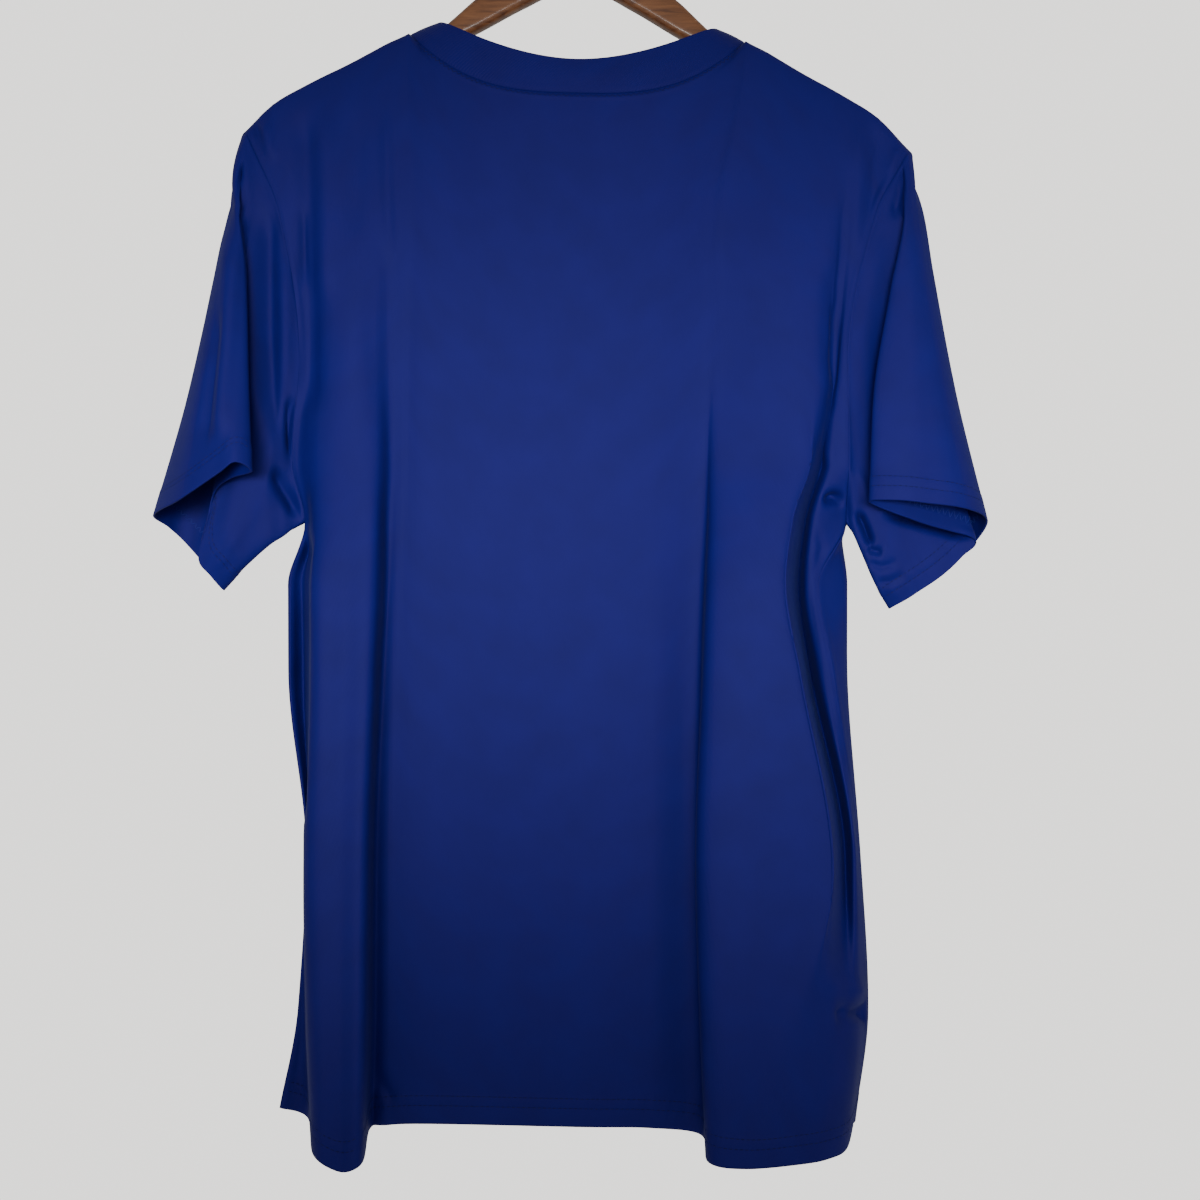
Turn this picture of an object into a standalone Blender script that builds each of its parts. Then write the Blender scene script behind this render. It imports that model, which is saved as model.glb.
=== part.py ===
"""A short-sleeved crew-neck T-shirt hanging on a flat wooden hanger.

The shirt is cut from two body panels, two sleeves and a folded neckband. Each piece is a wall of cloth
worked out from sections across the garment, and the pieces meet at mitred seams with a small gap.
All sizes below are in millimetres. x runs to the right as seen from behind the shirt, z runs up, and
"depth" runs from the hanger's plane towards the back of the shirt, so depth is -y.
The origin is the underside of the hook's top bend, where a rail would carry the hanger.
"""

import math

import bmesh
import bpy
import numpy as np

# Driving sizes, in millimetres and degrees
CLOTH_WALL = 1.2
RIB_WALL = 1.6
SEAM_GAP = 0.3
MOST_WIDENING = 1.35
HANGER_TILT = 1.3
TILT_CENTRE = -150.0
ARM_REACH = 194.0
ARM_END_ROUNDING = 9.0
WOOD_THICKNESS = 12.0
WOOD_ROUNDING = 4.5
WOOD_BOSS_TOP = -74.0
CLOTH_ON_WOOD = 1.6
CREST_LIFT = 1.15
HOOK_WIRE_RADIUS = 2.0
HOOK_BEND_RADIUS = 21.0
HOOK_TIP_ANGLE = 200.0
HOOK_SHANK_ANGLE = -52.0
HOOK_HOLE_RADIUS = 2.35
HOOK_HOLE_DEPTH = 16.0
HOOK_FOOT_GAP = 1.0
# The shank below the bend, down to the board: x, z
HOOK_SHANK = ((6.2, -41.0), (1.2, -47.5), (0.0, -56.0), (0.0, -68.0))
NECK_HALF_WIDTH = 108.0
COLLAR_HALF_WIDTH = 90.0
COLLAR_CROWN = -124.8
# The lowest point and the deepest point of each neck seam
BACK_NECK = (-174.0, 18.0)
FRONT_NECK = (-247.0, -18.0)
# The neckband's free edge: its lowest point, its deepest point and how square its curve is
BACK_COLLAR = (-153.3, 20.0, 1.9)
FRONT_COLLAR = (-226.0, -17.0, 2.1)
# The neckband's rows, as shares of its width, and how far it rolls outwards between its edges
COLLAR_ROWS = (0.0, 0.35, 0.7, 1.0)
COLLAR_ROLL = 1.6
# How far each panel stands off the wood beside the neck: x, depth
NECK_STAND_OFF = (
    (0.0, 10.8),
    (60.0, 8.6),
    (84.0, 6.5),
    (97.0, 5.0),
    (108.0, 3.7),
    (124.0, 1.8),
    (145.0, 0.0),
)
# The neck's edges come out over the wood first (depth, sharpness), then ease on to their middle: front, back
OVER_WOOD = ((12.0, 40), (9.0, 20))
# How square the neck seam's curve is: front, back
NECK_CURVE_POWER = (2.2, 3.0)

# The hanger's arm from its middle to its rounded end: x, top edge, bottom edge
ARM_PROFILE = (
    (0.0, -74.0, -101.0),
    (14.0, -76.0, -103.0),
    (34.0, -87.0, -112.5),
    (64.0, -107.5, -129.5),
    (80.0, -122.0, -138.0),
    (92.0, -132.5, -145.0),
    (108.0, -141.5, -154.5),
    (131.0, -149.2, -164.0),
    (156.0, -160.1, -175.0),
    (178.0, -171.7, -187.5),
    (190.0, -178.7, -195.5),
    (200.0, -186.5, -204.0),
)

# The shoulder line's height above the wood: x, lift of the cloth clear of the arm
SHOULDER_LIFT = ((108.0, 6.1), (120.0, 4.8), (131.0, 2.6), (144.0, 0.9), (156.0, 0.2), (200.0, 0.0))
# Past the end of the arm the shoulder falls to the sleeve seam: x, height
SHOULDER_TIP = ((194.0, -179.6), (200.0, -184.4), (205.0, -189.2), (211.0, -195.6), (218.0, -202.4))

# Past the arm the rows that round the wood draw in by this much each, over this distance, and lie flatter
TIP_INSET = 3.5
TIP_FADE = 22.0
TIP_FLATTENING = 0.2
# In the neck those rows lie this far below the seam and below each other
NECK_ROW_STEP = 3.75
# The place of the crest and of those rows down a panel, and the height that the sections count from
CREST_ROWS = (0.0, 5.0, 10.0)
SHOULDER_END = -187.0
UNDERARM_HEIGHT = -444

# The fold lines of the back panel, left to right, with the number of faces up to the next line
BACK_LINES = (
    ("left seam", 2),
    ("left turn", 3),
    ("left tube outer", 2),
    ("left tube crest", 2),
    ("left tube inner", 3),
    ("left valley", 2),
    ("left neck", 4),
    ("left middle", 3),
    ("middle", 3),
    ("right middle", 2),
    ("right valley", 2),
    ("right fold inner", 2),
    ("right fold crest", 3),
    ("right fold outer", 3),
    ("gully", 2),
    ("gully lip", 2),
    ("right seam", 0),
)
BACK_NECK_LINES = (6, 11)
BACK_TOP_X = (-214, -204, -188, -167, -145, -124, -108, -72, 2, 47, 81, 108, 135, 168, 188, 203, 217)

# Sections of the back panel: height, faces down to the next one, then x and depth at each fold line
BACK_SECTIONS = (
    (-250, 4,
     (-189, -180, -166, -145, -128, -117, -106, -80, 2, 47, 82, 94, 119, 159, 170, 180, 190),
     (11, 12, 14, 16, 16, 15, 16, 16, 17, 16, 14, 15, 17, 16, 13, 12, 11)),
    (-340, 3,
     (-177, -173, -161, -142, -127, -119, -108, -85, 2, 47, 80, 93, 116, 157, 165, 168, 172),
     (15, 12, 18, 24, 21, 14, 14, 15, 16, 15, 13, 16, 23, 21, 12, 14, 15)),
    (-405, 2,
     (-182, -176, -163, -142, -124, -120, -109, -85, 2, 47, 80, 91, 113, 146, 153, 161, 173),
     (13, 9, 21, 27, 26, 13, 13, 14.5, 16, 14, 11, 18, 28, 26, 9, 14, 15)),
    (-444, 2,
     (-175, -171, -163, -141, -124, -122, -111, -86, 2, 47, 80, 89, 110, 134, 142, 152, 173),
     (2, 8, 24, 30, 30, 12, 12, 13.5, 15, 13, 10, 23, 32, 29, 6, 11, 4)),
    (-485, 3,
     (-187, -180, -165, -142, -125, -124, -113, -87, 2, 47, 79, 86, 109, 131, 139, 148, 154),
     (-6, -3, 29, 35, 33.5, 11, 11, 12.5, 14, 12, 9, 29, 37, 33, 5, 10, 10)),
    (-540, 4,
     (-187, -180, -164, -143, -126, -126, -115, -89, 2, 47, 78, 84, 107, 138, 149, 155, 163),
     (-6, -4, 34, 39, 37.5, 10.5, 10.3, 11.5, 13, 11, 8, 33, 40, 36, 6, 15, 16)),
    (-660, 4,
     (-176, -174, -166, -144, -129, -130, -119, -91, 2, 47, 77, 80, 104, 156, 168, 173, 180),
     (-8, 6, 41, 46.5, 45, 9.5, 9, 10, 11, 9, 6, 40, 46, 41, 16, 20, 8)),
    (-760, 3,
     (-181, -175, -163, -143, -129, -131, -120, -92, 2, 47, 78, 80, 103, 147, 165, 176, 186),
     (-6, -1, 47, 52.5, 51, 9, 8, 8.5, 9, 8, 7, 45, 50, 46, 38, 27, 5)),
    ((-825, -830, -833, -841, -836, -833, -831, -830, -832,
      -833, -837, -839, -841, -839, -838, -837, -831), 0,
     (-193, -174, -159, -142, -130, -133, -122, -93, 2, 47, 80, 82, 103, 137, 155, 168, 177),
     (-6, -3, 51, 56.5, 55, 8.5, 7.5, 8, 8, 7, 8, 47, 52, 50, 44, 31, 5)),
)

# The same for the front panel, whose folds fall towards the far side
FRONT_LINES = (
    ("left seam", 3),
    ("left bulge", 4),
    ("left crest", 4),
    ("left valley", 3),
    ("left neck", 6),
    ("middle", 6),
    ("right neck", 2),
    ("right valley", 4),
    ("right crest", 3),
    ("right wrap", 3),
    ("right seam", 0),
)
FRONT_NECK_LINES = (4, 6)
FRONT_TOP_X = (-214, -196, -165, -130, -108, 0, 108, 130, 165, 198, 217)
FRONT_SECTIONS = (
    (-285, 4,
     (-182, -170, -150, -125, -100, 2, 100, 125, 150, 168, 180),
     (-10, -13, -17, -15, -16, -20, -16, -15, -17, -13, -10)),
    (-350, 3,
     (-178, -171, -151, -126, -96, 2, 95, 126, 150, 165, 170),
     (-14, -18, -24, -19, -20, -24, -20, -19, -24, -18, -13)),
    (-405, 2,
     (-180, -171, -154, -127, -94, 2, 93, 127, 153, 166, 171),
     (-14, -19, -27, -21, -21, -25, -21, -21, -27, -19, -12)),
    (-444, 2,
     (-175, -172, -156, -128, -92, 2, 92, 128, 155, 170, 173),
     (2, -13, -29, -22, -22, -25, -22, -22, -29, -13, 4)),
    (-485, 3,
     (-187, -186, -160, -130, -95, 2, 95, 130, 159, 175, 154),
     (-6, -15, -32, -23, -22, -25, -22, -24, -32, -5, 10)),
    (-540, 4,
     (-187, -186, -160, -132, -98, 2, 98, 130, 158, 175, 163),
     (-6, -17, -36, -24, -22, -24, -23, -26, -36, -7, 16)),
    (-660, 4,
     (-176, -176, -158, -134, -98, 2, 98, 128, 160, 182, 180),
     (-8, -21, -40, -26, -22, -23, -22, -26, -40, -9, 8)),
    (-760, 3,
     (-181, -180, -160, -132, -98, 2, 98, 128, 161, 187, 186),
     (-6, -21, -42, -26, -21, -22, -21, -26, -42, -13, 5)),
    ((-825, -829, -835, -833, -832, -832, -832, -833, -836, -834, -831), 0,
     (-193, -190, -166, -134, -100, 2, 100, 130, 162, 180, 177),
     (-6, -21, -44, -26, -20, -21, -20, -26, -44, -15, 5)),
)
FACES_OVER_WOOD = 1
FACES_BELOW_WOOD = 3

# The sleeves' fold lines run from the armhole to the cuff. Each starts at a share of the way round the
# armhole, from the underarm over the back to the shoulder tip (0.5) and down the front.
SLEEVE_LINES = (
    ("underarm", 0.0, 0),
    ("lower back", 0.11, 0),
    ("back", 0.22, 0),
    ("upper back", 0.33, 0),
    ("valley", 0.415, 2),
    ("tuck", 0.440, 2),
    ("flap edge", 0.462, 2),
    ("flap inner", 0.477, 1),
    ("flap ridge", 0.492, 1),
    ("flap outer", 0.508, 1),
    ("outer fold", 0.53, 2),
    ("upper front", 0.61, 0),
    ("front", 0.73, 0),
    ("lower front", 0.87, 0),
)
SLEEVE_STEPS = (0.0, 0.18, 0.35, 0.70, 1.0)
SLEEVE_FACES_DOWN = (2, 2, 4, 3)
# The sleeve's head below the shoulder tip: its place and width round the armhole, how far it stands out
HEAD_SHARE = 0.51
HEAD_WIDTH = 0.06
LEFT_PUFF = -3.5
RIGHT_PUFF = 0.5
# Two columns of a sleeve are at least this share of the armhole apart
LEAST_SHARE = 0.005
LEFT_SLEEVE_SECTIONS = (
    ((-187, -190, -187, -188, -206, -211, -213, -215, -217, -219, -223, -216, -196, -187),
     (3, 10, 14, 13, 11, 15, 19, 18, 15, 9, -1, -10, -12, -6),
     (-451, -425, -377, -317, -269, -257, -247, -244, -243, -242, -241, -250, -312, -391)),
    ((-196, -199, -196, -198, -212, -209, -208, -211, -216, -224, -231, -225, -207, -197),
     (4, 12, 16, 13, 11, 18, 25, 27, 25, 17, 0, -13, -16, -9),
     (-457, -437, -400, -346, -304, -299, -287, -284, -280, -277, -276, -282, -337, -404)),
    ((-211, -216, -217, -216, -222, -212, -203, -208, -218, -235, -250, -246, -235, -221),
     (3, 12, 16, 15, 15, 26, 37, 42, 41, 31, 1, -20, -26, -15),
     (-470, -460, -438, -400, -371, -367, -362, -361, -363, -364, -361, -367, -399, -439)),
    ((-229, -235, -242, -236, -229, -216, -199, -207, -218, -245, -273, -270, -260, -243),
     (-2, 6, 8, 13, 18, 31, 46, 53, 51, 39, 0, -22, -28, -16),
     (-488, -479, -468, -446, -426, -419, -416, -411, -418, -433, -440, -447, -458, -474)),
)
RIGHT_SLEEVE_SECTIONS = (
    ((178, 182, 181, 188, 207, 209, 208, 210, 214, 218, 222, 216, 193, 181),
     (5, 12, 14, 12, 11, 14, 17, 17, 14, 9, -1, -10, -12, -6),
     (-452, -417, -369, -307, -260, -255, -250, -247, -245, -243, -241, -253, -315, -394)),
    ((183, 189, 192, 200, 214, 208, 199, 205, 214, 222, 229, 220, 204, 190),
     (4, 11, 11, 9, 9, 14, 20, 22, 21, 15, 2, -12, -15, -9),
     (-463, -431, -387, -336, -297, -292, -298, -292, -288, -285, -285, -292, -344, -410)),
    ((193, 203, 209, 222, 234, 213, 187, 201, 216, 232, 243, 237, 223, 205),
     (2, 7, 8, 6, 6, 16, 25, 30, 30, 24, 4, -17, -21, -13),
     (-485, -463, -435, -406, -381, -370, -370, -366, -365, -364, -361, -370, -409, -452)),
    ((203, 219, 235, 248, 256, 219, 184, 199, 219, 244, 263, 259, 240, 220),
     (-4, 1, 3, 2, 3, 17, 29, 36, 36, 30, 6, -18, -24, -15),
     (-500, -490, -479, -467, -456, -446, -434, -433, -435, -438, -444, -460, -478, -492)),
)

# Colour, roughness and metallic value of each material
FINISHES = {
    "jersey": ((0.012, 0.036, 0.24), 0.55, 0.0),
    "wood": ((0.22, 0.085, 0.03), 0.35, 0.0),
    "steel": ((0.62, 0.62, 0.6), 0.25, 1.0),
}


def glide(knots, values, at):
    """Values on a smooth curve through the knots that never overshoots them (a monotone cubic)."""
    knots = np.asarray(knots, float)
    values = np.asarray(values, float)
    span = np.diff(knots).reshape((-1,) + (1,) * (values.ndim - 1))
    secant = np.diff(values, axis=0) / span
    slope = np.empty_like(values)
    slope[0], slope[-1] = secant[0], secant[-1]
    before, after = secant[:-1], secant[1:]
    same_way = before * after > 0
    safe = np.where(same_way, before + after, 1.0)
    slope[1:-1] = np.where(same_way, 2 * before * after / safe, 0.0)
    at = np.clip(np.asarray(at, float), knots[0], knots[-1])
    place = np.clip(np.searchsorted(knots, at, side="right") - 1, 0, len(knots) - 2)
    t = ((at - knots[place]) / np.diff(knots)[place]).reshape((-1,) + (1,) * (values.ndim - 1))
    step = span[place]
    return (
        (2 * t**3 - 3 * t**2 + 1) * values[place]
        + (t**3 - 2 * t**2 + t) * step * slope[place]
        + (3 * t**2 - 2 * t**3) * values[place + 1]
        + (t**3 - t**2) * step * slope[place + 1]
    )


def flow(values, at, closed=False):
    """Points on a rounded curve through the values at 0, 1, 2 ... (a Catmull-Rom spline)."""
    values = np.asarray(values, float)
    count = len(values)
    place = np.minimum(np.floor(at).astype(int), count - (1 if closed else 2))
    t = (at - place).reshape((-1,) + (1,) * (values.ndim - 1))
    around = [place - 1, place, place + 1, place + 2]
    if closed:
        p0, p1, p2, p3 = (values[index % count] for index in around)
    else:
        p0, p1, p2, p3 = (values[np.clip(index, 0, count - 1)] for index in around)
    return (
        p1
        + 0.5 * t * (p2 - p0)
        + t**2 * (p0 - 2.5 * p1 + 2 * p2 - 0.5 * p3)
        + t**3 * (1.5 * (p1 - p2) + 0.5 * (p3 - p0))
    )


def stations(faces):
    """0, 1, 2 ... with each gap cut into its number of faces."""
    places = [np.arange(count) / count + index for index, count in enumerate(faces) if count]
    return np.append(np.concatenate(places), len([count for count in faces if count]))


def tilted(points):
    """(x, depth, z) points turned by the hanger's tilt, the right side down."""
    angle = math.radians(HANGER_TILT)
    x, depth, z = np.moveaxis(np.asarray(points, float), -1, 0)
    z = z - TILT_CENTRE
    turned_x = x * math.cos(angle) + z * math.sin(angle)
    return np.stack([turned_x, depth, TILT_CENTRE + z * math.cos(angle) - x * math.sin(angle)], axis=-1)


def wood_top(x):
    profile = np.array(ARM_PROFILE)
    return glide(profile[:, 0], profile[:, 1], np.abs(np.atleast_1d(x)))


def shoulder_height(x):
    """Height of the cloth's middle surface along the shoulder: on the arm, lifted near the neck."""
    side = np.abs(np.atleast_1d(np.asarray(x, float)))
    lift = np.array(SHOULDER_LIFT)
    tip = np.array(SHOULDER_TIP)
    on_arm = wood_top(side) + CLOTH_ON_WOOD * CREST_LIFT + glide(lift[:, 0], lift[:, 1], side)
    past_arm = glide(tip[:, 0], tip[:, 1], side)
    return np.where(side < tip[0, 0], on_arm, past_arm)


def over_wood(share, deepest):
    """Depth of a neck edge at this share of its half width: quickly past the board, then slowly on."""
    first, sharpness = OVER_WOOD[deepest > 0]
    rest = abs(deepest) - first
    return math.copysign(1, deepest) * (first * (1 - share**sharpness) + rest * (1 - share**3))


def neckline(x, lowest, deepest):
    """(depth, z) of the neck seam: it leaves the shoulder steeply and rounds off in the middle."""
    share = np.clip(np.abs(x) / NECK_HALF_WIDTH, 0, 1)
    top = shoulder_height(NECK_HALF_WIDTH)[0]
    return over_wood(share, deepest), lowest + (top - lowest) * share ** NECK_CURVE_POWER[deepest > 0]


def top_rows(top_x, fine, neck_lines, side, lowest, deepest):
    """The panel's top edge and the two rows that round the wood, for the back (side 1) or front (-1)."""
    x = np.interp(fine, np.arange(len(top_x)), top_x)
    in_neck = (fine > neck_lines[0]) & (fine < neck_lines[1])
    turns = np.linspace(-math.pi / 2, math.pi / 2, np.count_nonzero(in_neck) + 2)
    x[in_neck] = NECK_HALF_WIDTH * np.sin(turns[1:-1])
    seam_depth, seam_z = neckline(x, lowest, deepest)
    crest = np.where(in_neck, seam_z, shoulder_height(x))
    crest_depth = np.where(in_neck, seam_depth, 0.0)
    reach = WOOD_ROUNDING + CLOTH_ON_WOOD
    flat = WOOD_THICKNESS / 2 - WOOD_ROUNDING
    slope = np.gradient(shoulder_height(x), x)
    rows = [np.stack([x, crest_depth, crest], axis=-1)]
    past_arm = np.clip((np.abs(x) - ARM_REACH) / TIP_FADE, 0, 1)
    stand_off = np.array(NECK_STAND_OFF)
    stand_off = glide(stand_off[:, 0], stand_off[:, 1], np.abs(x))
    for row, turn in ((1, 45), (2, 90)):
        out = side * (flat + (reach + stand_off) * math.sin(math.radians(turn)))
        out *= 1 - TIP_FLATTENING * past_arm
        drop = reach * (1 - math.cos(math.radians(turn))) * np.hypot(1, slope)
        depth = np.where(in_neck, side * np.maximum(abs(seam_depth) + 0.4, abs(out) + 0.1), out)
        inward = x - np.sign(x) * past_arm * TIP_INSET * row
        rows.append(np.stack([inward, depth, crest - np.where(in_neck, NECK_ROW_STEP * row, drop)], axis=-1))
    return [tilted(row) for row in rows]


def panel(lines, top_x, neck_lines, sections, side, lowest, deepest):
    """Points of a body panel, rows down and columns left to right, as (x, depth, z)."""
    across = stations([faces for _, faces in lines])
    rows = top_rows(top_x, across, neck_lines, side, lowest, deepest)
    faces_down = [FACES_OVER_WOOD, FACES_OVER_WOOD, FACES_BELOW_WOOD]
    for height, faces, x, depth in sections:
        z = np.broadcast_to(np.asarray(height, float), (len(x),))
        rows.append(flow(np.stack([x, depth, z], axis=-1), across))
        faces_down.append(faces)
    heights = list(CREST_ROWS) + [SHOULDER_END - np.mean(section[0]) for section in sections]
    down = np.interp(stations(faces_down), np.arange(len(heights)), heights)
    return glide(heights, np.stack(rows), down)


def rows_to_armpit(sections):
    """Number of rows from the shoulder tip to the underarm, both counted."""
    total = 2 * FACES_OVER_WOOD + FACES_BELOW_WOOD + 1
    for height, faces, _, _ in sections:
        if height == UNDERARM_HEIGHT:
            return total
        total += faces
    return total


def sleeve(back_armhole, front_armhole, sections, puff):
    """Points of a sleeve, rows from the armhole to the cuff and columns round it from the underarm.
    The puff is how far the sleeve's head stands out just below the shoulder tip."""
    ring = np.concatenate([back_armhole[::-1], front_armhole[1:-1]])
    closing = np.vstack([ring, ring[:1]])
    run = np.concatenate([[0], np.cumsum(np.linalg.norm(np.diff(closing, axis=0), axis=1))])
    share = run / run[-1]
    starts = [start for _, start, _ in SLEEVE_LINES] + [1.0]
    gaps = zip(starts, starts[1:], [faces for _, _, faces in SLEEVE_LINES])
    extra = [start + np.arange(faces) / max(faces, 1) * (end - start) for start, end, faces in gaps]
    extra = np.concatenate(extra)
    clear = np.abs(extra[:, None] - share[None, :]).min(axis=1) > LEAST_SHARE
    share_all = np.unique(np.concatenate([share[:-1], extra[clear]]))
    armhole = np.stack([np.interp(share_all, share, closing[:, axis]) for axis in range(3)], axis=-1)
    at = glide(starts, np.arange(len(starts)), share_all)
    rows = [armhole]
    for x, depth, z in sections:
        rows.append(flow(np.stack([x, depth, z], axis=-1), at, closed=True))
    down = np.interp(stations(SLEEVE_FACES_DOWN + (0,)), np.arange(len(SLEEVE_STEPS)), SLEEVE_STEPS)
    points = glide(SLEEVE_STEPS, np.stack(rows), down)
    head = np.exp(-(((share_all - HEAD_SHARE) / HEAD_WIDTH) ** 2))
    rise = np.sin(math.pi * np.clip(down / SLEEVE_STEPS[1], 0, 1))
    points[:, :, 0] += puff * rise[:, None] * head
    return points


def collar_edge(x, side):
    """The neckband's free edge above its seam: higher and closer in, on the back or the front."""
    share = np.clip(np.abs(x) / COLLAR_HALF_WIDTH, 0, 1)
    lowest, deepest, power = BACK_COLLAR if side > 0 else FRONT_COLLAR
    height = lowest + (COLLAR_CROWN - lowest) * share**power
    return np.stack([x, over_wood(share, deepest), height], axis=-1)


def neckband(back_seam, front_seam):
    """Points of the neckband, rows from the seam up to the free edge and columns round the neck."""
    seam = np.concatenate([back_seam, front_seam[::-1][1:-1]])
    narrowing = COLLAR_HALF_WIDTH / NECK_HALF_WIDTH
    centre = (back_seam[0] + back_seam[-1]) / 2
    edges = []
    for row, side in ((back_seam, 1), (front_seam[::-1][1:-1], -1)):
        edges.append(tilted(collar_edge((row[:, 0] - centre[0]) * narrowing, side)))
    edge = np.concatenate(edges)
    rise = np.array(COLLAR_ROWS)[:, None, None]
    roll = COLLAR_ROLL * np.sin(math.pi * rise)
    outward = edge - edge.mean(axis=0)
    outward[:, 2] = 0
    outward /= np.linalg.norm(outward, axis=1)[:, None]
    return seam + (edge - seam) * rise + outward * roll


def normals_of(points, closed):
    """The sum of the unit normals of the faces round each point of a grid."""
    wrapped = np.concatenate([points, points[:, :1]], axis=1) if closed else points
    one = wrapped[1:, 1:] - wrapped[:-1, :-1]
    other = wrapped[:-1, 1:] - wrapped[1:, :-1]
    face = np.cross(other, one)
    face /= np.maximum(np.linalg.norm(face, axis=2), 1e-9)[:, :, None]
    normal = np.zeros_like(wrapped)
    for rows in (slice(0, -1), slice(1, None)):
        for columns in (slice(0, -1), slice(1, None)):
            normal[rows, columns] += face
    if closed:
        normal[:, 0] += normal[:, -1]
        normal = normal[:, :-1]
    return normal


def sew(pieces):
    """Point every wall outwards and give the points that two pieces share one common normal."""
    shared = {}
    for piece in pieces.values():
        normal = normals_of(piece["points"], piece["closed"]) * piece["outward"]
        length = np.linalg.norm(normal, axis=2)
        faces_round = np.full(length.shape, 4.0)
        faces_round[[0, -1]] /= 2
        if not piece["closed"]:
            faces_round[:, [0, -1]] /= 2
        # at a fold the average normal is short, and the wall is widened there to keep its thickness
        piece["widening"] = np.minimum(faces_round / length, MOST_WIDENING)
        normal /= length[:, :, None]
        piece["normals"] = normal
        piece["keys"] = np.round(piece["points"] * 1000).astype(int)
    for piece in pieces.values():
        for place in np.ndindex(piece["points"].shape[:2]):
            key = tuple(piece["keys"][place])
            shared.setdefault(key, []).append(piece["normals"][place])
    for piece in pieces.values():
        piece["sewn"] = np.zeros(piece["points"].shape[:2], bool)
        piece["pull"] = np.zeros(piece["points"].shape[:2])
        for place in np.ndindex(piece["points"].shape[:2]):
            meeting = shared[tuple(piece["keys"][place])]
            if len(meeting) > 1:
                total = np.sum(meeting, axis=0)
                piece["normals"][place] = total / np.linalg.norm(total)
                piece["sewn"][place] = True
                piece["widening"][place] = 1.0
            piece["pull"][place] = SEAM_GAP * (0.5 if len(meeting) < 3 else 1.0)
    for piece in pieces.values():
        if piece["closed"]:
            follow_seam(piece)


def follow_seam(piece):
    """Points that only this piece has on its seam take the normal between the sewn points round them."""
    sewn = np.flatnonzero(piece["sewn"][0])
    if len(sewn) < 3:
        return
    edge, normal = piece["points"][0], piece["normals"][0]
    run = np.concatenate([[0], np.cumsum(np.linalg.norm(np.diff(edge, axis=0), axis=1))])
    total = run[-1] + np.linalg.norm(edge[0] - edge[-1])
    for column in np.flatnonzero(~piece["sewn"][0]):
        for axis in range(3):
            nearby = normal[sewn, axis]
            normal[column, axis] = np.interp(run[column], run[sewn], nearby, period=total)
        normal[column] /= np.linalg.norm(normal[column])
        piece["widening"][0, column] = 1.0
    piece["sewn"][0] = True


def draw_back(piece):
    """Move each sewn edge half the seam gap into its own piece, across the seam and along the cloth."""
    points, normals, sewn, pull = (piece[part] for part in ("points", "normals", "sewn", "pull"))
    moved = points.copy()
    rows, columns = points.shape[:2]
    edges = [
        (points[0], points[1], normals[0], sewn[0], (0, slice(None))),
        (points[-1], points[-2], normals[-1], sewn[-1], (rows - 1, slice(None))),
    ]
    if not piece["closed"]:
        edges.append((points[:, 0], points[:, 1], normals[:, 0], sewn[:, 0], (slice(None), 0)))
        edges.append((points[:, -1], points[:, -2], normals[:, -1], sewn[:, -1], (slice(None), columns - 1)))
    for edge, inner, normal, is_sewn, place in edges:
        if np.count_nonzero(is_sewn) < 3:
            continue
        ahead = np.roll(edge, -1, axis=0) if piece["closed"] else np.vstack([edge[1:], edge[-1:]])
        behind = np.roll(edge, 1, axis=0) if piece["closed"] else np.vstack([edge[:1], edge[:-1]])
        along = ahead - behind
        across = np.cross(normal, along)
        across /= np.linalg.norm(across, axis=1)[:, None]
        across *= np.sign(np.sum(across * (inner - edge), axis=1))[:, None]
        moved[place] += across * (pull[place] * is_sewn)[:, None]
    piece["points"] = moved


def wall_mesh(name, piece, thickness):
    """A closed wall: outer and inner skins with the same diagonals, and a rim round each open edge."""
    points, normals = piece["points"], piece["normals"]
    rows, columns = points.shape[:2]
    half = normals * piece["widening"][:, :, None] * thickness / 2
    skins = np.concatenate([(points + half).reshape(-1, 3), (points - half).reshape(-1, 3)])
    vertices = np.stack([skins[:, 0], -skins[:, 1], skins[:, 2]], axis=-1) / 1000
    number = np.arange(rows * columns).reshape(rows, columns)
    ring = np.concatenate([number, number[:, :1]], axis=1) if piece["closed"] else number
    a, b, c, d = ring[:-1, :-1], ring[1:, :-1], ring[1:, 1:], ring[:-1, 1:]
    skin = np.concatenate([np.stack([a, b, c], -1).reshape(-1, 3), np.stack([a, c, d], -1).reshape(-1, 3)])
    border = [ring[0, ::-1], ring[-1]]
    if not piece["closed"]:
        border += [ring[:, 0], ring[::-1, -1]]
    rim = []
    total = rows * columns
    for run in border:
        start, end = run[:-1], run[1:]
        rim.append(np.stack([end, start, start + total], -1))
        rim.append(np.stack([end, start + total, end + total], -1))
    faces = np.concatenate([skin, skin[:, ::-1] + total] + rim)
    if piece["outward"] < 0:
        faces = faces[:, ::-1]
    mesh = bpy.data.meshes.new(name)
    mesh.from_pydata(vertices.tolist(), [], faces.tolist())
    mesh.shade_smooth()
    return mesh


def finish_named(name):
    material = bpy.data.materials.get(name)
    if material:
        return material
    colour, roughness, metallic = FINISHES[name]
    material = bpy.data.materials.new(name)
    material.use_nodes = True
    shader = material.node_tree.nodes["Principled BSDF"]
    shader.inputs["Base Color"].default_value = (*colour, 1.0)
    shader.inputs["Roughness"].default_value = roughness
    shader.inputs["Metallic"].default_value = metallic
    return material


def place(name, data, finish, collection):
    """A new object of this mesh or curve, with its own material, in the collection."""
    data.materials.append(finish_named(finish))
    item = bpy.data.objects.new(name, data)
    collection.objects.link(item)
    return item


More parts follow.
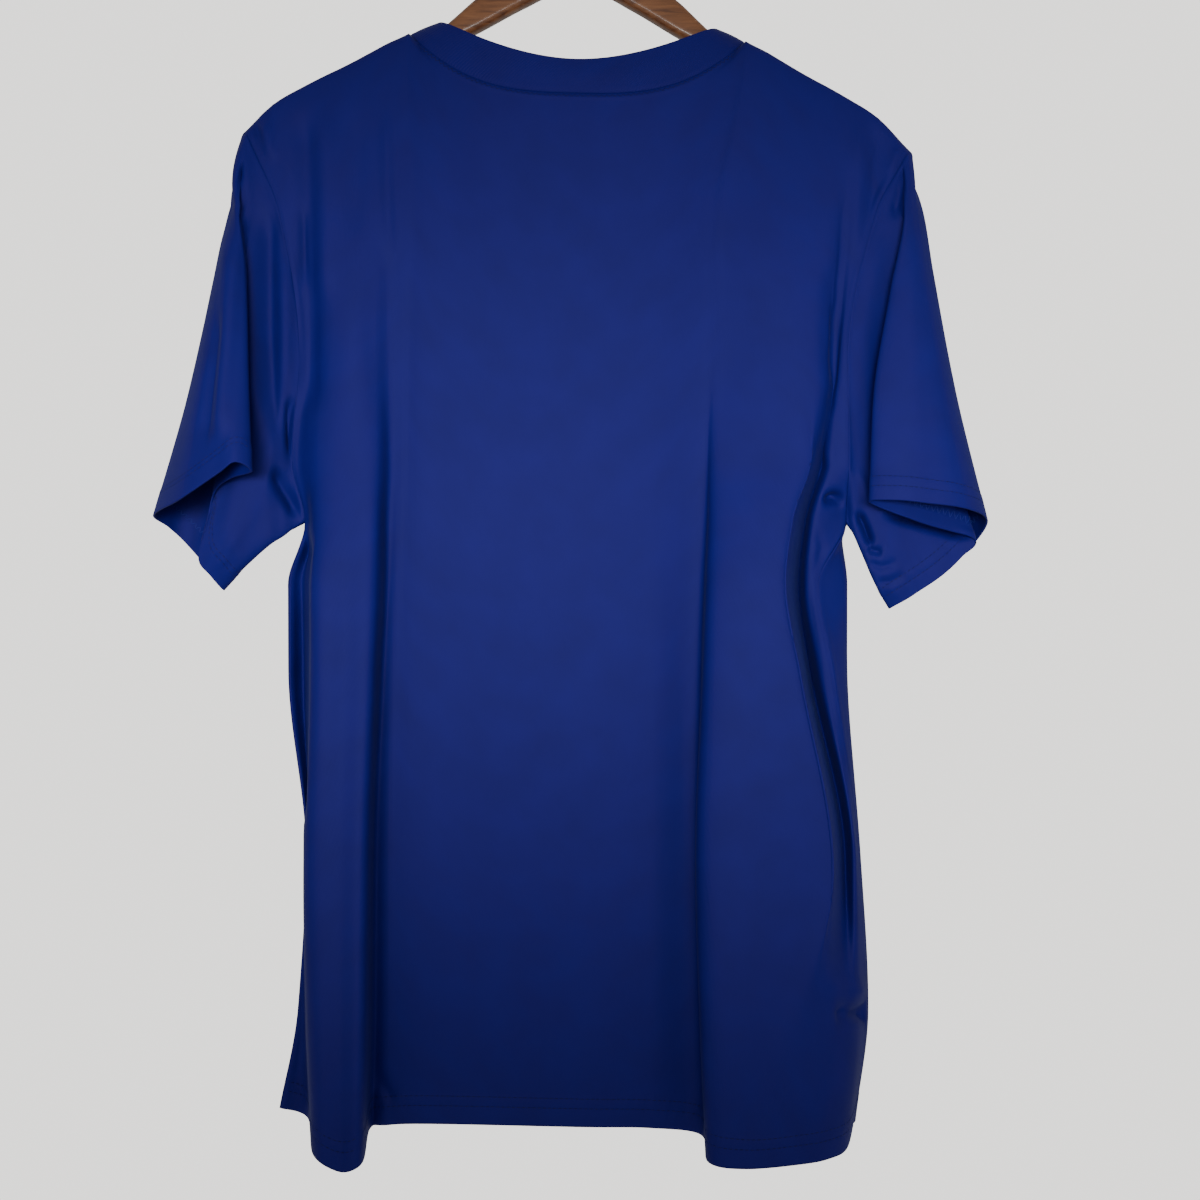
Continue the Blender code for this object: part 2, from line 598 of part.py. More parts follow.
def shirt_pieces():
    """The grids of the five sewn pieces, joined at shared points along their seams."""
    back = panel(BACK_LINES, BACK_TOP_X, BACK_NECK_LINES, BACK_SECTIONS, 1, *BACK_NECK)
    front = panel(FRONT_LINES, FRONT_TOP_X, FRONT_NECK_LINES, FRONT_SECTIONS, -1, *FRONT_NECK)
    armpit_back = rows_to_armpit(BACK_SECTIONS) - 1
    armpit_front = rows_to_armpit(FRONT_SECTIONS) - 1
    neck = {}
    for key, grid, lines, neck_lines in (
        ("back", back, BACK_LINES, BACK_NECK_LINES),
        ("front", front, FRONT_LINES, FRONT_NECK_LINES),
    ):
        counts = [faces for _, faces in lines]
        neck[key] = tuple(sum(counts[:line]) for line in neck_lines)
    # the shoulder seams and the side seams are the back panel's own edges, point for point
    front[0, : neck["front"][0] + 1] = back[0, : neck["back"][0] + 1]
    front[0, neck["front"][1] :] = back[0, neck["back"][1] :]
    front[armpit_front:, 0] = back[armpit_back:, 0]
    front[armpit_front:, -1] = back[armpit_back:, -1]
    band = neckband(
        back[0, neck["back"][0] : neck["back"][1] + 1], front[0, neck["front"][0] : neck["front"][1] + 1]
    )
    back_armholes = back[: armpit_back + 1]
    front_armholes = front[: armpit_front + 1]
    left = sleeve(back_armholes[:, 0], front_armholes[:, 0], LEFT_SLEEVE_SECTIONS, LEFT_PUFF)
    right = sleeve(back_armholes[:, -1], front_armholes[:, -1], RIGHT_SLEEVE_SECTIONS, RIGHT_PUFF)
    return {
        "back_panel": {"points": back, "closed": False, "outward": 1},
        "front_panel": {"points": front, "closed": False, "outward": -1},
        "sleeve_left": {"points": left, "closed": True, "outward": -1},
        "sleeve_right": {"points": right, "closed": True, "outward": 1},
        "neckband": {"points": band, "closed": True, "outward": -1},
    }


def board_section(x):
    """(depth, z) points round the board at x: a bar with rounded edges that closes in at the arm's end."""
    profile = np.array(ARM_PROFILE)
    side = abs(x)
    top = glide(profile[:, 0], profile[:, 1], [side])[0]
    bottom = glide(profile[:, 0], profile[:, 2], [side])[0]
    into_end = max(0.0, side - (ARM_REACH - ARM_END_ROUNDING)) / ARM_END_ROUNDING
    fullness = math.sqrt(max(1 - into_end**2, 0.09))
    half = WOOD_THICKNESS / 2 * fullness
    middle, tall = (top + bottom) / 2, (top - bottom) / 2 * fullness
    slope = math.hypot(1, np.interp(side, profile[1:, 0], np.diff(profile[:, 1]) / np.diff(profile[:, 0])))
    across = WOOD_ROUNDING * fullness
    down = min(across * slope, 0.9 * tall)
    turns = np.radians(np.linspace(0, 90, 4))
    corner_depth = half - across + across * np.sin(turns)
    corner_z = tall - down + down * np.cos(turns)
    depth = np.concatenate([corner_depth, corner_depth[::-1], -corner_depth, -corner_depth[::-1]])
    z = np.concatenate([corner_z, -corner_z[::-1], -corner_z, corner_z[::-1]])
    return depth, middle + z


def hanger_arms(collection, cutters):
    """The flat board with rounded edges and the hole that the hook is driven into."""
    inner = np.linspace(0, ARM_REACH - ARM_END_ROUNDING, 15)
    end = ARM_REACH - ARM_END_ROUNDING * (1 - np.sin(np.radians((25, 50, 72))))
    half = np.concatenate([inner, end])
    rings = []
    for x in np.concatenate([-half[:0:-1], half]):
        depth, z = board_section(x)
        rings.append(tilted(np.stack([np.full_like(z, x), depth, z], axis=-1)))
    rings = np.stack(rings)
    count, around = rings.shape[:2]
    flat = rings.reshape(-1, 3) / 1000
    number = np.arange(count * around).reshape(count, around)
    ahead = np.roll(number, -1, axis=1)
    quads = np.stack([number[:-1], ahead[:-1], ahead[1:], number[1:]], axis=-1).reshape(-1, 4)
    faces = quads.tolist() + [number[0, ::-1].tolist(), number[-1].tolist()]
    mesh = bpy.data.meshes.new("hanger_arms")
    mesh.from_pydata(np.stack([flat[:, 0], -flat[:, 1], flat[:, 2]], axis=-1).tolist(), [], faces)
    mesh.shade_smooth()
    arms = place("hanger_arms", mesh, "wood", collection)
    hole = bmesh.new()
    bmesh.ops.create_cone(
        hole,
        cap_ends=True,
        segments=16,
        radius1=HOOK_HOLE_RADIUS / 1000,
        radius2=HOOK_HOLE_RADIUS / 1000,
        depth=2 * HOOK_HOLE_DEPTH / 1000,
    )
    hole_mesh = bpy.data.meshes.new("hook_hole")
    hole.to_mesh(hole_mesh)
    hole.free()
    cutter = bpy.data.objects.new("hook_hole", hole_mesh)
    cutters.objects.link(cutter)
    cutter.location = (0, 0, WOOD_BOSS_TOP / 1000)
    cutter.hide_render = True
    cutter.display_type = "WIRE"
    drill = arms.modifiers.new("hook hole", "BOOLEAN")
    drill.operation = "DIFFERENCE"
    drill.object = cutter
    return arms


def hanger_hook(collection):
    """The steel hook: a round bend from its tip, over the rail and down into the board's hole."""
    centre_z = HOOK_WIRE_RADIUS - HOOK_BEND_RADIUS
    angles = np.radians(np.linspace(HOOK_TIP_ANGLE, HOOK_SHANK_ANGLE, 22))
    x = HOOK_BEND_RADIUS * np.cos(angles)
    z = centre_z + HOOK_BEND_RADIUS * np.sin(angles)
    foot = WOOD_BOSS_TOP - HOOK_HOLE_DEPTH + HOOK_FOOT_GAP
    shank = np.array([(x[-1], z[-1]), *HOOK_SHANK, (0.0, foot)])
    steps = flow(shank, np.linspace(0, len(shank) - 1, 13))[1:]
    route = np.concatenate([np.stack([x, z], axis=-1), steps])
    curve = bpy.data.curves.new("hanger_hook", "CURVE")
    curve.dimensions = "3D"
    curve.bevel_depth = HOOK_WIRE_RADIUS / 1000
    curve.bevel_resolution = 2
    curve.use_fill_caps = True
    spline = curve.splines.new("POLY")
    spline.points.add(len(route) - 1)
    for point, (px, pz) in zip(spline.points, route):
        point.co = (px / 1000, 0, pz / 1000, 1)
    return place("hanger_hook", curve, "steel", collection)


def main():
    for item in list(bpy.data.objects):
        bpy.data.objects.remove(item, do_unlink=True)
    collection = bpy.data.collections.new("tshirt_on_hanger")
    cutters = bpy.data.collections.new("cutters")
    bpy.context.scene.collection.children.link(collection)
    bpy.context.scene.collection.children.link(cutters)
    pieces = shirt_pieces()
    sew(pieces)
    for name, piece in pieces.items():
        draw_back(piece)
        thickness = RIB_WALL if name == "neckband" else CLOTH_WALL
        place(name, wall_mesh(name, piece, thickness), "jersey", collection)
    hanger_arms(collection, cutters)
    hanger_hook(collection)


main()
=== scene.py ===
import math
import bpy
import numpy as np
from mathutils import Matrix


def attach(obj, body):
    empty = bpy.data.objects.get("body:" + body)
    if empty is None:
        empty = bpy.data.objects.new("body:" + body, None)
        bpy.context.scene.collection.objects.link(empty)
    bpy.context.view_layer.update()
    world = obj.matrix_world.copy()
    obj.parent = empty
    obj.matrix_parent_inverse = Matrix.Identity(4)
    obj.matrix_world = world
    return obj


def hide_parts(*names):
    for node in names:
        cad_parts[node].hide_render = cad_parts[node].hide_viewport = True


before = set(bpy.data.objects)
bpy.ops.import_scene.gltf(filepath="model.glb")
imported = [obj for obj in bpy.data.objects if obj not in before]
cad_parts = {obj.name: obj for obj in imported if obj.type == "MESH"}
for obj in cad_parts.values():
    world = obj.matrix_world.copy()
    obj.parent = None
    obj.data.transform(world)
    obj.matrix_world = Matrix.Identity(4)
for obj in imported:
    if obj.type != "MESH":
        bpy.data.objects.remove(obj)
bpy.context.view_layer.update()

# All sizes are in millimetres until a mesh is made. x runs right, z up, and depth runs from the hanger's
# plane towards the camera, so depth is -y.

# The camera stands this far in front of the hanger's plane, and one photo pixel is this wide on that plane
cameraAway = 900.0
cameraX = 14.9
cameraZ = -494.8
pixelWide = 0.646
photoWide = 1200
photoMiddle = photoWide / 2

cloth = {
    "wall": 1.2, "ribWall": 1.6, "seamLap": 0.06, "mostWidening": 1.35,
    # how many times finer than the solids' faces the mesh is, and the rows by a seam or hem cut once more
    "finerAcross": 6, "finerDown": 5, "sleeveFinerDown": 8, "bandFinerDown": 8,
    "seamFiner": 2, "seamRows": 10, "hemFiner": 3, "hemRows": 17,
}
hanger = {
    "tilt": 1.3, "tiltCentre": -150.0, "reach": 194.0, "endRounding": 9.0, "thickness": 12.0,
    "rounding": 4.5, "clothOnWood": 1.6, "crestLift": 1.15, "fallPast": 22.0,
}
neck = {
    "halfWidth": 108.0, "collarHalfWidth": 90.0, "crown": -124.8,
    "tipInset": 3.5, "rowStep": 3.75, "easing": 22.0,
    "overWood": ((12.0, 40), (9.0, 20)), "power": (2.2, 3.0),  # for the front, then the back
    "standOff": (  # how far the cloth stands off the wood (x, gap)
        (0.0, 10.8), (60.0, 8.6), (84.0, 6.5), (97.0, 5.0), (108.0, 3.7), (124.0, 1.8), (145.0, 0.0)),
}
# The hanger's arm from its middle to its end: x, top edge, bottom edge
armProfile = (
    (0.0, -74.0, -101.0), (14.0, -76.0, -103.0), (34.0, -87.0, -112.5), (64.0, -107.5, -129.5),
    (80.0, -122.0, -138.0), (92.0, -132.5, -145.0), (108.0, -141.5, -154.5), (131.0, -149.2, -164.0),
    (156.0, -160.1, -175.0), (178.0, -171.7, -187.5), (190.0, -178.7, -195.5), (200.0, -186.5, -204.0),
)
# The shoulder line's height above the wood (x, lift), and its fall past the arm's end (x, height)
shoulderLift = ((108.0, 6.1), (120.0, 4.8), (131.0, 2.6), (144.0, 0.9), (156.0, 0.2), (200.0, 0.0))
shoulderTip = ((194.0, -179.6), (200.0, -184.4), (205.0, -189.2), (211.0, -195.6), (218.0, -202.4))

# The back panel: faces between its fold lines, the lines at the neck's ends, x of the lines at the shoulder,
# its side of the hanger, the height and depth of its neck seam's middle, then its sections from the shoulder
# down (height, faces down to the next, x at each line, depth at each line)
backPanel = {
    "lines": (2, 3, 2, 2, 3, 2, 3, 5, 3, 3, 2, 2, 3, 3, 2, 2, 0),
    "neckLines": (6, 11),
    "topX": (-214, -204, -188, -167, -145, -124, -108, -72, 2, 47, 81, 108, 135, 168, 188, 203, 217),
    "side": 1, "lowest": -174.0, "deepest": 18.0,
    "sections": (
        (-250, 4,
         (-189, -180, -166, -145, -128, -117, -106, -80, 2, 47, 82, 94, 119, 159, 170, 180, 190),
         (11, 12, 14, 16, 16, 15, 16, 16, 17, 16, 14, 15, 17, 16, 13, 12, 11)),
        (-340, 3,
         (-177, -173, -161, -142, -128, -119, -108, -85, 2, 47, 80, 95, 135, 157, 165, 168, 172),
         (11, 11, 17, 21, 18, 14, 14, 15, 16, 15, 13, 15, 22.5, 21, 12, 14, 15)),
        (-405, 4,
         (-182, -176, -163, -142, -126, -119, -109, -85, 2, 47, 80, 92, 141, 148, 157, 162, 173),
         (8, 10, 20, 24.5, 22.5, 13, 13, 14.5, 16, 14, 11, 17, 27, 26, 7, 14, 15)),
        (-444, 3,
         (-175, -171, -163, -141, -126, -121, -111, -86, 2, 47, 80, 89, 130, 136, 147, 152, 173),
         (2, 7, 23, 28, 26.5, 12, 12, 13.5, 15, 13, 10, 22, 31, 29, 1, 11, 4)),
        (-485, 3,
         (-187, -180, -165, -142, -126, -122, -113, -87, 2, 47, 79, 86, 125, 131, 143, 147, 154),
         (-6, -5, 29, 32, 30, 11, 11, 12.5, 14, 12, 9, 28, 35.5, 33, -3, 9, 10)),
        (-540, 4,
         (-187, -180, -164, -143, -127, -125, -115, -89, 2, 47, 78, 84, 133, 139, 150.5, 155, 163),
         (-6, -6, 34, 36.5, 35, 10.5, 10.3, 11.5, 13, 11, 8, 33, 38.5, 36, -3, 14, 16)),
        (-660, 4,
         (-176, -174, -166, -144, -129, -130, -119, -91, 2, 47, 77, 80, 151, 158, 171, 175.5, 180),
         (-8, 2, 41, 46, 44.5, 9.5, 9, 10, 11, 9, 6, 40, 43.5, 41, 8, 19, 8)),
        (-760, 3,
         (-181, -175, -163, -143, -129, -131, -120, -92, 2, 47, 78, 80, 122, 147, 165, 176, 186),
         (-6, -1, 47, 52.5, 51, 9, 8, 8.5, 9, 8, 7, 45, 49, 46, 38, 27, 5)),
        ((-825, -830, -833, -841, -836, -833, -831, -830,
          -832, -833, -837, -839, -841, -839, -838, -837, -831), 0,
         (-193, -174, -159, -142, -130, -133, -122, -93, 2, 47, 80, 82, 103, 137, 155, 168, 177),
         (-6, -3, 51, 56.5, 55, 8.5, 7.5, 8, 8, 7, 8, 47, 52, 50, 44, 31, 5)),
    ),
}
# The front panel, whose folds fall towards the far side
frontPanel = {
    "lines": (3, 4, 4, 3, 8, 8, 2, 4, 3, 3, 0),
    "neckLines": (4, 6),
    "topX": (-214, -196, -165, -130, -108, 0, 108, 130, 165, 198, 217),
    "side": -1, "lowest": -247.0, "deepest": -18.0,
    "sections": (
        (-285, 4,
         (-182, -170, -150, -125, -100, 2, 100, 125, 150, 168, 180),
         (-10, -13, -17, -15, -16, -20, -16, -15, -17, -13, -10)),
        (-350, 3,
         (-178, -171, -151, -126, -96, 2, 95, 126, 150, 165, 170),
         (-14, -18, -24, -19, -20, -24, -20, -19, -24, -18, -13)),
        (-405, 2,
         (-180, -171, -154, -127, -94, 2, 93, 127, 153, 166, 171),
         (-14, -19, -27, -21, -21, -25, -21, -21, -27, -19, -12)),
        (-444, 3,
         (-175, -172, -156, -128, -92, 2, 92, 128, 155, 170, 173),
         (2, -13, -29, -22, -22, -25, -22, -22, -29, -13, 4)),
        (-485, 3,
         (-187, -186, -160, -130, -95, 2, 95, 130, 159, 175, 154),
         (-6, -15, -32, -23, -22, -25, -22, -24, -32, -5, 10)),
        (-540, 4,
         (-187, -186, -160, -132, -98, 2, 98, 130, 158, 175, 163),
         (-6, -17, -36, -24, -22, -24, -23, -26, -36, -7, 16)),
        (-660, 4,
         (-176, -176, -158, -134, -98, 2, 98, 128, 160, 182, 180),
         (-8, -21, -40, -26, -22, -23, -22, -26, -40, -9, 8)),
        (-760, 3,
         (-181, -180, -160, -132, -98, 2, 98, 128, 161, 187, 186),
         (-6, -21, -42, -26, -21, -22, -21, -26, -42, -13, 5)),
        ((-825, -829, -835, -833, -832, -832, -832, -833, -836, -834, -831), 0,
         (-193, -190, -166, -134, -100, 2, 100, 130, 162, 180, 177),
         (-6, -21, -44, -26, -20, -21, -20, -26, -44, -15, 5)),
    ),
}
armpitHeight = -444
shoulderHeights = (0.0, 5.0, 10.0)  # row parameter of the crest and the two rows that round the wood
shoulderEnd = -187.0
facesOverWood = 1
facesBelowWood = 3

# The sleeves: each fold line's share of the way round the armhole, then sections from the armhole to the cuff
sleeveStarts = (0.0, 0.11, 0.22, 0.33, 0.415, 0.440, 0.462, 0.477, 0.492, 0.508, 0.53, 0.61, 0.73, 0.87, 1.0)
sleeveExtra = (0, 0, 0, 0, 12, 14, 14, 9, 9, 10, 16, 6, 4, 0)  # more columns where the folds are
sleeveSteps = (0.0, 0.18, 0.35, 0.70, 1.0)
sleeveFacesDown = (2, 2, 4, 3, 0)
leftSleeve = {
    "puff": -3.5,
    "sections": (
        ((-187, -190, -187, -188, -206, -211, -213, -215, -217, -219, -223, -216, -196, -187),
         (3, 10, 14, 13, 11, 15, 19, 18, 15, 9, -1, -10, -12, -6),
         (-451, -425, -377, -317, -269, -257, -247, -244, -243, -242, -241, -250, -312, -391)),
        ((-196, -199, -196, -198, -212, -209, -208, -211, -216, -224, -231, -225, -207, -197),
         (4, 12, 16, 13, 11, 18, 25, 27, 25, 17, 0, -13, -16, -9),
         (-457, -437, -400, -346, -304, -299, -287, -284, -280, -277, -276, -282, -337, -404)),
        ((-211, -216, -217, -216, -222, -212, -203, -208, -218, -235, -250, -246, -235, -221),
         (3, 12, 16, 15, 15, 26, 37, 42, 41, 31, 1, -20, -26, -15),
         (-470, -460, -438, -400, -371, -367, -362, -361, -363, -364, -361, -367, -399, -439)),
        ((-229, -235, -242, -236, -229, -216, -199, -207, -218, -245, -273, -270, -260, -243),
         (-2, 6, 8, 13, 18, 31, 46, 53, 51, 39, 0, -22, -28, -16),
         (-488, -479, -468, -446, -426, -419, -416, -411, -418, -433, -440, -447, -458, -474)),
    ),
}
rightSleeve = {
    "puff": 0.5,
    "sections": (
        ((178, 182, 181, 188, 207, 209, 208, 210, 214, 218, 222, 216, 193, 181),
         (5, 12, 14, 12, 11, 14, 17, 17, 14, 9, -1, -10, -12, -6),
         (-452, -417, -369, -307, -260, -255, -250, -247, -245, -243, -241, -253, -315, -394)),
        ((183, 189, 192, 200, 214, 208, 199, 205, 214, 222, 229, 220, 204, 190),
         (4, 11, 11, 9, 9, 14, 20, 22, 21, 15, 2, -12, -15, -9),
         (-463, -431, -387, -336, -297, -292, -298, -292, -288, -285, -285, -292, -344, -410)),
        ((193, 203, 209, 222, 234, 213, 187, 201, 216, 232, 243, 237, 223, 205),
         (2, 7, 8, 6, 6, 16, 25, 30, 30, 24, 4, -17, -21, -13),
         (-485, -463, -435, -406, -381, -370, -370, -366, -365, -364, -361, -370, -409, -452)),
        ((203, 219, 235, 248, 256, 219, 184, 199, 219, 244, 263, 259, 240, 220),
         (-4, 1, 3, 2, 3, 17, 29, 36, 36, 30, 6, -18, -24, -15),
         (-500, -490, -479, -467, -456, -446, -434, -433, -435, -438, -444, -460, -478, -492)),
    ),
}
sleeveHead = (0.51, 0.06)  # middle and half width of the sleeve head's puff, as shares of the way round
leastGap = 0.0006  # a new column closer than this to another, as a share of the way round, is left out
# The neckband's free edge: lowest point, deepest point and how square its curve is, for the back and front
collarEdges = {1: (-153.3, 20.0, 1.9), -1: (-226.0, -17.0, 2.1)}
collarRoll = 1.6
collarRise = (0.0, 0.35, 0.7, 1.0)  # how far up the band its rows are


def glide(knots, values, at):  # a monotone cubic through the knots, which never overshoots them
    knots, values = np.asarray(knots, float), np.asarray(values, float)
    span = np.diff(knots).reshape((-1,) + (1,) * (values.ndim - 1))
    secant = np.diff(values, axis=0) / span
    slope = np.empty_like(values)
    slope[0], slope[-1] = secant[0], secant[-1]
    before, after = secant[:-1], secant[1:]
    sameWay = before * after > 0
    slope[1:-1] = np.where(sameWay, 2 * before * after / np.where(sameWay, before + after, 1.0), 0.0)
    at = np.clip(np.asarray(at, float), knots[0], knots[-1])
    place = np.clip(np.searchsorted(knots, at, side="right") - 1, 0, len(knots) - 2)
    t = ((at - knots[place]) / np.diff(knots)[place]).reshape((-1,) + (1,) * (values.ndim - 1))
    step = span[place]
    return ((2 * t**3 - 3 * t**2 + 1) * values[place] + (t**3 - 2 * t**2 + t) * step * slope[place]
            + (3 * t**2 - 2 * t**3) * values[place + 1] + (t**3 - t**2) * step * slope[place + 1])


def flow(values, at, closed=False):  # a Catmull-Rom spline through the values at 0, 1, 2 ...
    values = np.asarray(values, float)
    count = len(values)
    place = np.minimum(np.floor(at).astype(int), count - (1 if closed else 2))
    t = (at - place).reshape((-1,) + (1,) * (values.ndim - 1))
    around = [place - 1, place, place + 1, place + 2]
    if closed:
        p0, p1, p2, p3 = (values[index % count] for index in around)
    else:
        p0, p1, p2, p3 = (values[np.clip(index, 0, count - 1)] for index in around)
    return (p1 + 0.5 * t * (p2 - p0) + t**2 * (p0 - 2.5 * p1 + 2 * p2 - 0.5 * p3)
            + t**3 * (1.5 * (p1 - p2) + 0.5 * (p3 - p0)))


def bell(distance, width):  # exp(-(distance / width)^2): 1 at the middle, next to 0 at twice the width
    return np.exp(-((distance / width) ** 2))


def runAlong(path):  # length along a path from its first point
    return np.concatenate([[0], np.cumsum(np.linalg.norm(np.diff(path, axis=0), axis=1))])


def alongPath(at, run, values, period=None):  # the values at these lengths along a path, point to point
    return np.stack([np.interp(at, run, values[:, axis], period=period) for axis in range(3)], axis=-1)


def stations(faces, finer, seamRows=0, hemRows=0):
    # 0, 1, 2 ... with each gap cut into its faces and each face into finer ones, and the rows next to a seam
    # at the start or a hem at the end cut once more
    cuts = [(index, count * finer) for index, count in enumerate(faces) if count]
    places = [np.arange(count) / count + index for index, count in cuts]
    last = len(places)
    places = np.append(np.concatenate(places), last)
    if seamRows:
        places = np.append(places, np.arange(seamRows) / (faces[0] * finer * cloth["seamFiner"]))
    if hemRows:
        places = np.append(places, last - np.arange(hemRows) / (faces[last - 1] * finer * cloth["hemFiner"]))
    return np.unique(places.round(6))


def tilted(points):  # points turned by the hanger's tilt, the right side down
    angle = math.radians(hanger["tilt"])
    x, depth, z = np.moveaxis(np.asarray(points, float), -1, 0)
    z = z - hanger["tiltCentre"]
    turnedX = x * math.cos(angle) + z * math.sin(angle)
    turnedZ = hanger["tiltCentre"] + z * math.cos(angle) - x * math.sin(angle)
    return np.stack([turnedX, depth, turnedZ], axis=-1)


def shoulderHeight(x):  # height of the cloth along the shoulder: on the arm, lifted near the neck
    side = np.abs(np.atleast_1d(np.asarray(x, float)))
    profile, lift, tip = np.array(armProfile), np.array(shoulderLift), np.array(shoulderTip)
    onArm = (glide(profile[:, 0], profile[:, 1], side) + hanger["clothOnWood"] * hanger["crestLift"]
             + glide(lift[:, 0], lift[:, 1], side))
    return np.where(side < tip[0, 0], onArm, glide(tip[:, 0], tip[:, 1], side))


def overWood(share, deepest):  # depth of a neck edge: quickly past the board, then slowly on
    first, sharpness = neck["overWood"][int(deepest > 0)]
    depth = first * (1 - share**sharpness) + (abs(deepest) - first) * (1 - share**3)
    return math.copysign(1, deepest) * depth


def topRows(panel, across):  # the panel's top edge and the two rows that round the wood
    side, deepest = panel["side"], panel["deepest"]
    x = np.interp(across, np.arange(len(panel["topX"])), panel["topX"])
    inNeck = (across > panel["neckLines"][0]) & (across < panel["neckLines"][1])
    turns = np.linspace(-math.pi / 2, math.pi / 2, np.count_nonzero(inNeck) + 2)
    x[inNeck] = neck["halfWidth"] * np.sin(turns[1:-1])
    share = np.clip(np.abs(x) / neck["halfWidth"], 0, 1)
    top = shoulderHeight(neck["halfWidth"])[0]
    seamDepth = overWood(share, deepest)
    seamZ = panel["lowest"] + (top - panel["lowest"]) * share ** neck["power"][int(deepest > 0)]
    crest = np.where(inNeck, seamZ, shoulderHeight(x))
    crestDepth = np.where(inNeck, seamDepth, 0.0)
    reach = hanger["rounding"] + hanger["clothOnWood"]
    flat = hanger["thickness"] / 2 - hanger["rounding"]
    slope = np.gradient(shoulderHeight(x), x)
    rows = [np.stack([x, crestDepth, crest], axis=-1)]
    pastArm = np.clip((np.abs(x) - hanger["reach"]) / hanger["fallPast"], 0, 1)
    standOff = np.array(neck["standOff"])
    standOff = glide(standOff[:, 0], standOff[:, 1], np.abs(x))
    ease = np.clip((neck["halfWidth"] - np.abs(x)) / neck["easing"], 0, 1)
    ease = np.where(inNeck, ease**2 * (3 - 2 * ease), 0)
    for row, turn in ((1, 45), (2, 90)):
        out = side * (flat + (reach + standOff) * math.sin(math.radians(turn))) * (1 - 0.2 * pastArm)
        drop = reach * (1 - math.cos(math.radians(turn))) * np.hypot(1, slope)
        depth = np.where(inNeck, side * np.maximum(abs(seamDepth) + 0.4 * ease, abs(out) + 0.1 * ease), out)
        inward = x - np.sign(x) * pastArm * neck["tipInset"] * row
        drop = drop + (neck["rowStep"] * row - drop) * ease
        rows.append(np.stack([inward, depth, crest - drop], axis=-1))
    return [tilted(row) for row in rows]


def panelGrid(panel):  # rows down and columns left to right, and each column's place among the fold lines
    across = stations(panel["lines"], cloth["finerAcross"])
    rows = topRows(panel, across)
    facesDown = [facesOverWood, facesOverWood, facesBelowWood]
    for height, faces, x, depth in panel["sections"]:
        z = np.broadcast_to(np.asarray(height, float), (len(x),))
        rows.append(flow(np.stack([x, depth, z], axis=-1), across))
        facesDown.append(faces)
    heights = list(shoulderHeights) + [shoulderEnd - np.mean(section[0]) for section in panel["sections"]]
    places = stations(facesDown, cloth["finerDown"], hemRows=cloth["hemRows"])
    down = np.interp(places, np.arange(len(heights)), heights)
    return glide(heights, np.stack(rows), down), across


def armpitRow(panel):  # the row that the underarm is on
    total = 2 * facesOverWood + facesBelowWood
    for height, faces, _, _ in panel["sections"]:
        if height == armpitHeight:
            break
        total += faces
    return total * cloth["finerDown"]


def sleeveGrid(backArmhole, frontArmhole, shape):
    # rows from the armhole to the cuff, columns round the arm: a closed spline round each section, and a
    # monotone cubic from section to section
    ring = np.concatenate([backArmhole[::-1], frontArmhole[1:-1]])
    closing = np.vstack([ring, ring[:1]])
    run = runAlong(closing)
    share = run / run[-1]
    extra = []
    for start, end, faces in zip(sleeveStarts, sleeveStarts[1:], sleeveExtra):
        extra.append(np.arange(faces) / max(faces, 1) * (end - start) + start)
    extra = np.concatenate(extra)
    clear = np.abs(extra[:, None] - share[None, :]).min(axis=1) > leastGap
    shareAll = np.unique(np.concatenate([share[:-1], extra[clear]]))
    armhole = alongPath(shareAll, share, closing)
    at = glide(sleeveStarts, np.arange(len(sleeveStarts)), shareAll)
    rows = [armhole] + [flow(np.stack(section, axis=-1), at, closed=True) for section in shape["sections"]]
    places = stations(sleeveFacesDown, cloth["sleeveFinerDown"], cloth["seamRows"], cloth["hemRows"])
    down = np.interp(places, np.arange(len(sleeveSteps)), sleeveSteps)
    points = glide(sleeveSteps, np.stack(rows), down)
    rise = np.sin(math.pi * np.clip(down / sleeveSteps[1], 0, 1))
    points[:, :, 0] += shape["puff"] * rise[:, None] * bell(shareAll - sleeveHead[0], sleeveHead[1])
    return points, at


def bandGrid(backSeam, frontSeam):  # rows from the seam up to the free edge, columns round the neck
    frontRow = frontSeam[::-1][1:-1]
    seam = np.concatenate([backSeam, frontRow])
    narrowing = neck["collarHalfWidth"] / neck["halfWidth"]
    centre = (backSeam[0] + backSeam[-1]) / 2
    edges = []
    for row, side in ((backSeam, 1), (frontRow, -1)):
        x = (row[:, 0] - centre[0]) * narrowing
        share = np.clip(np.abs(x) / neck["collarHalfWidth"], 0, 1)
        lowest, deepest, power = collarEdges[side]
        height = lowest + (neck["crown"] - lowest) * share**power
        edges.append(tilted(np.stack([x, overWood(share, deepest), height], axis=-1)))
    edge = np.concatenate(edges)
    rise = stations((1,) * (len(collarRise) - 1), cloth["bandFinerDown"])[:, None, None]
    rise = np.interp(rise, np.arange(len(collarRise)), collarRise)
    outward = edge - edge.mean(axis=0)
    outward[:, 2] = 0
    outward /= np.linalg.norm(outward, axis=1)[:, None]
    return seam + (edge - seam) * rise + outward * collarRoll * np.sin(math.pi * rise)


def normalsOf(points, closed):  # the sum of the unit normals of the faces round each point
    wrapped = np.concatenate([points, points[:, :1]], axis=1) if closed else points
    face = np.cross(wrapped[:-1, 1:] - wrapped[1:, :-1], wrapped[1:, 1:] - wrapped[:-1, :-1])
    face /= np.maximum(np.linalg.norm(face, axis=2), 1e-9)[:, :, None]
    normal = np.zeros_like(wrapped)
    for rows in (slice(0, -1), slice(1, None)):
        for columns in (slice(0, -1), slice(1, None)):
            normal[rows, columns] += face
    if closed:
        normal[:, 0] += normal[:, -1]
        normal = normal[:, :-1]
    return normal


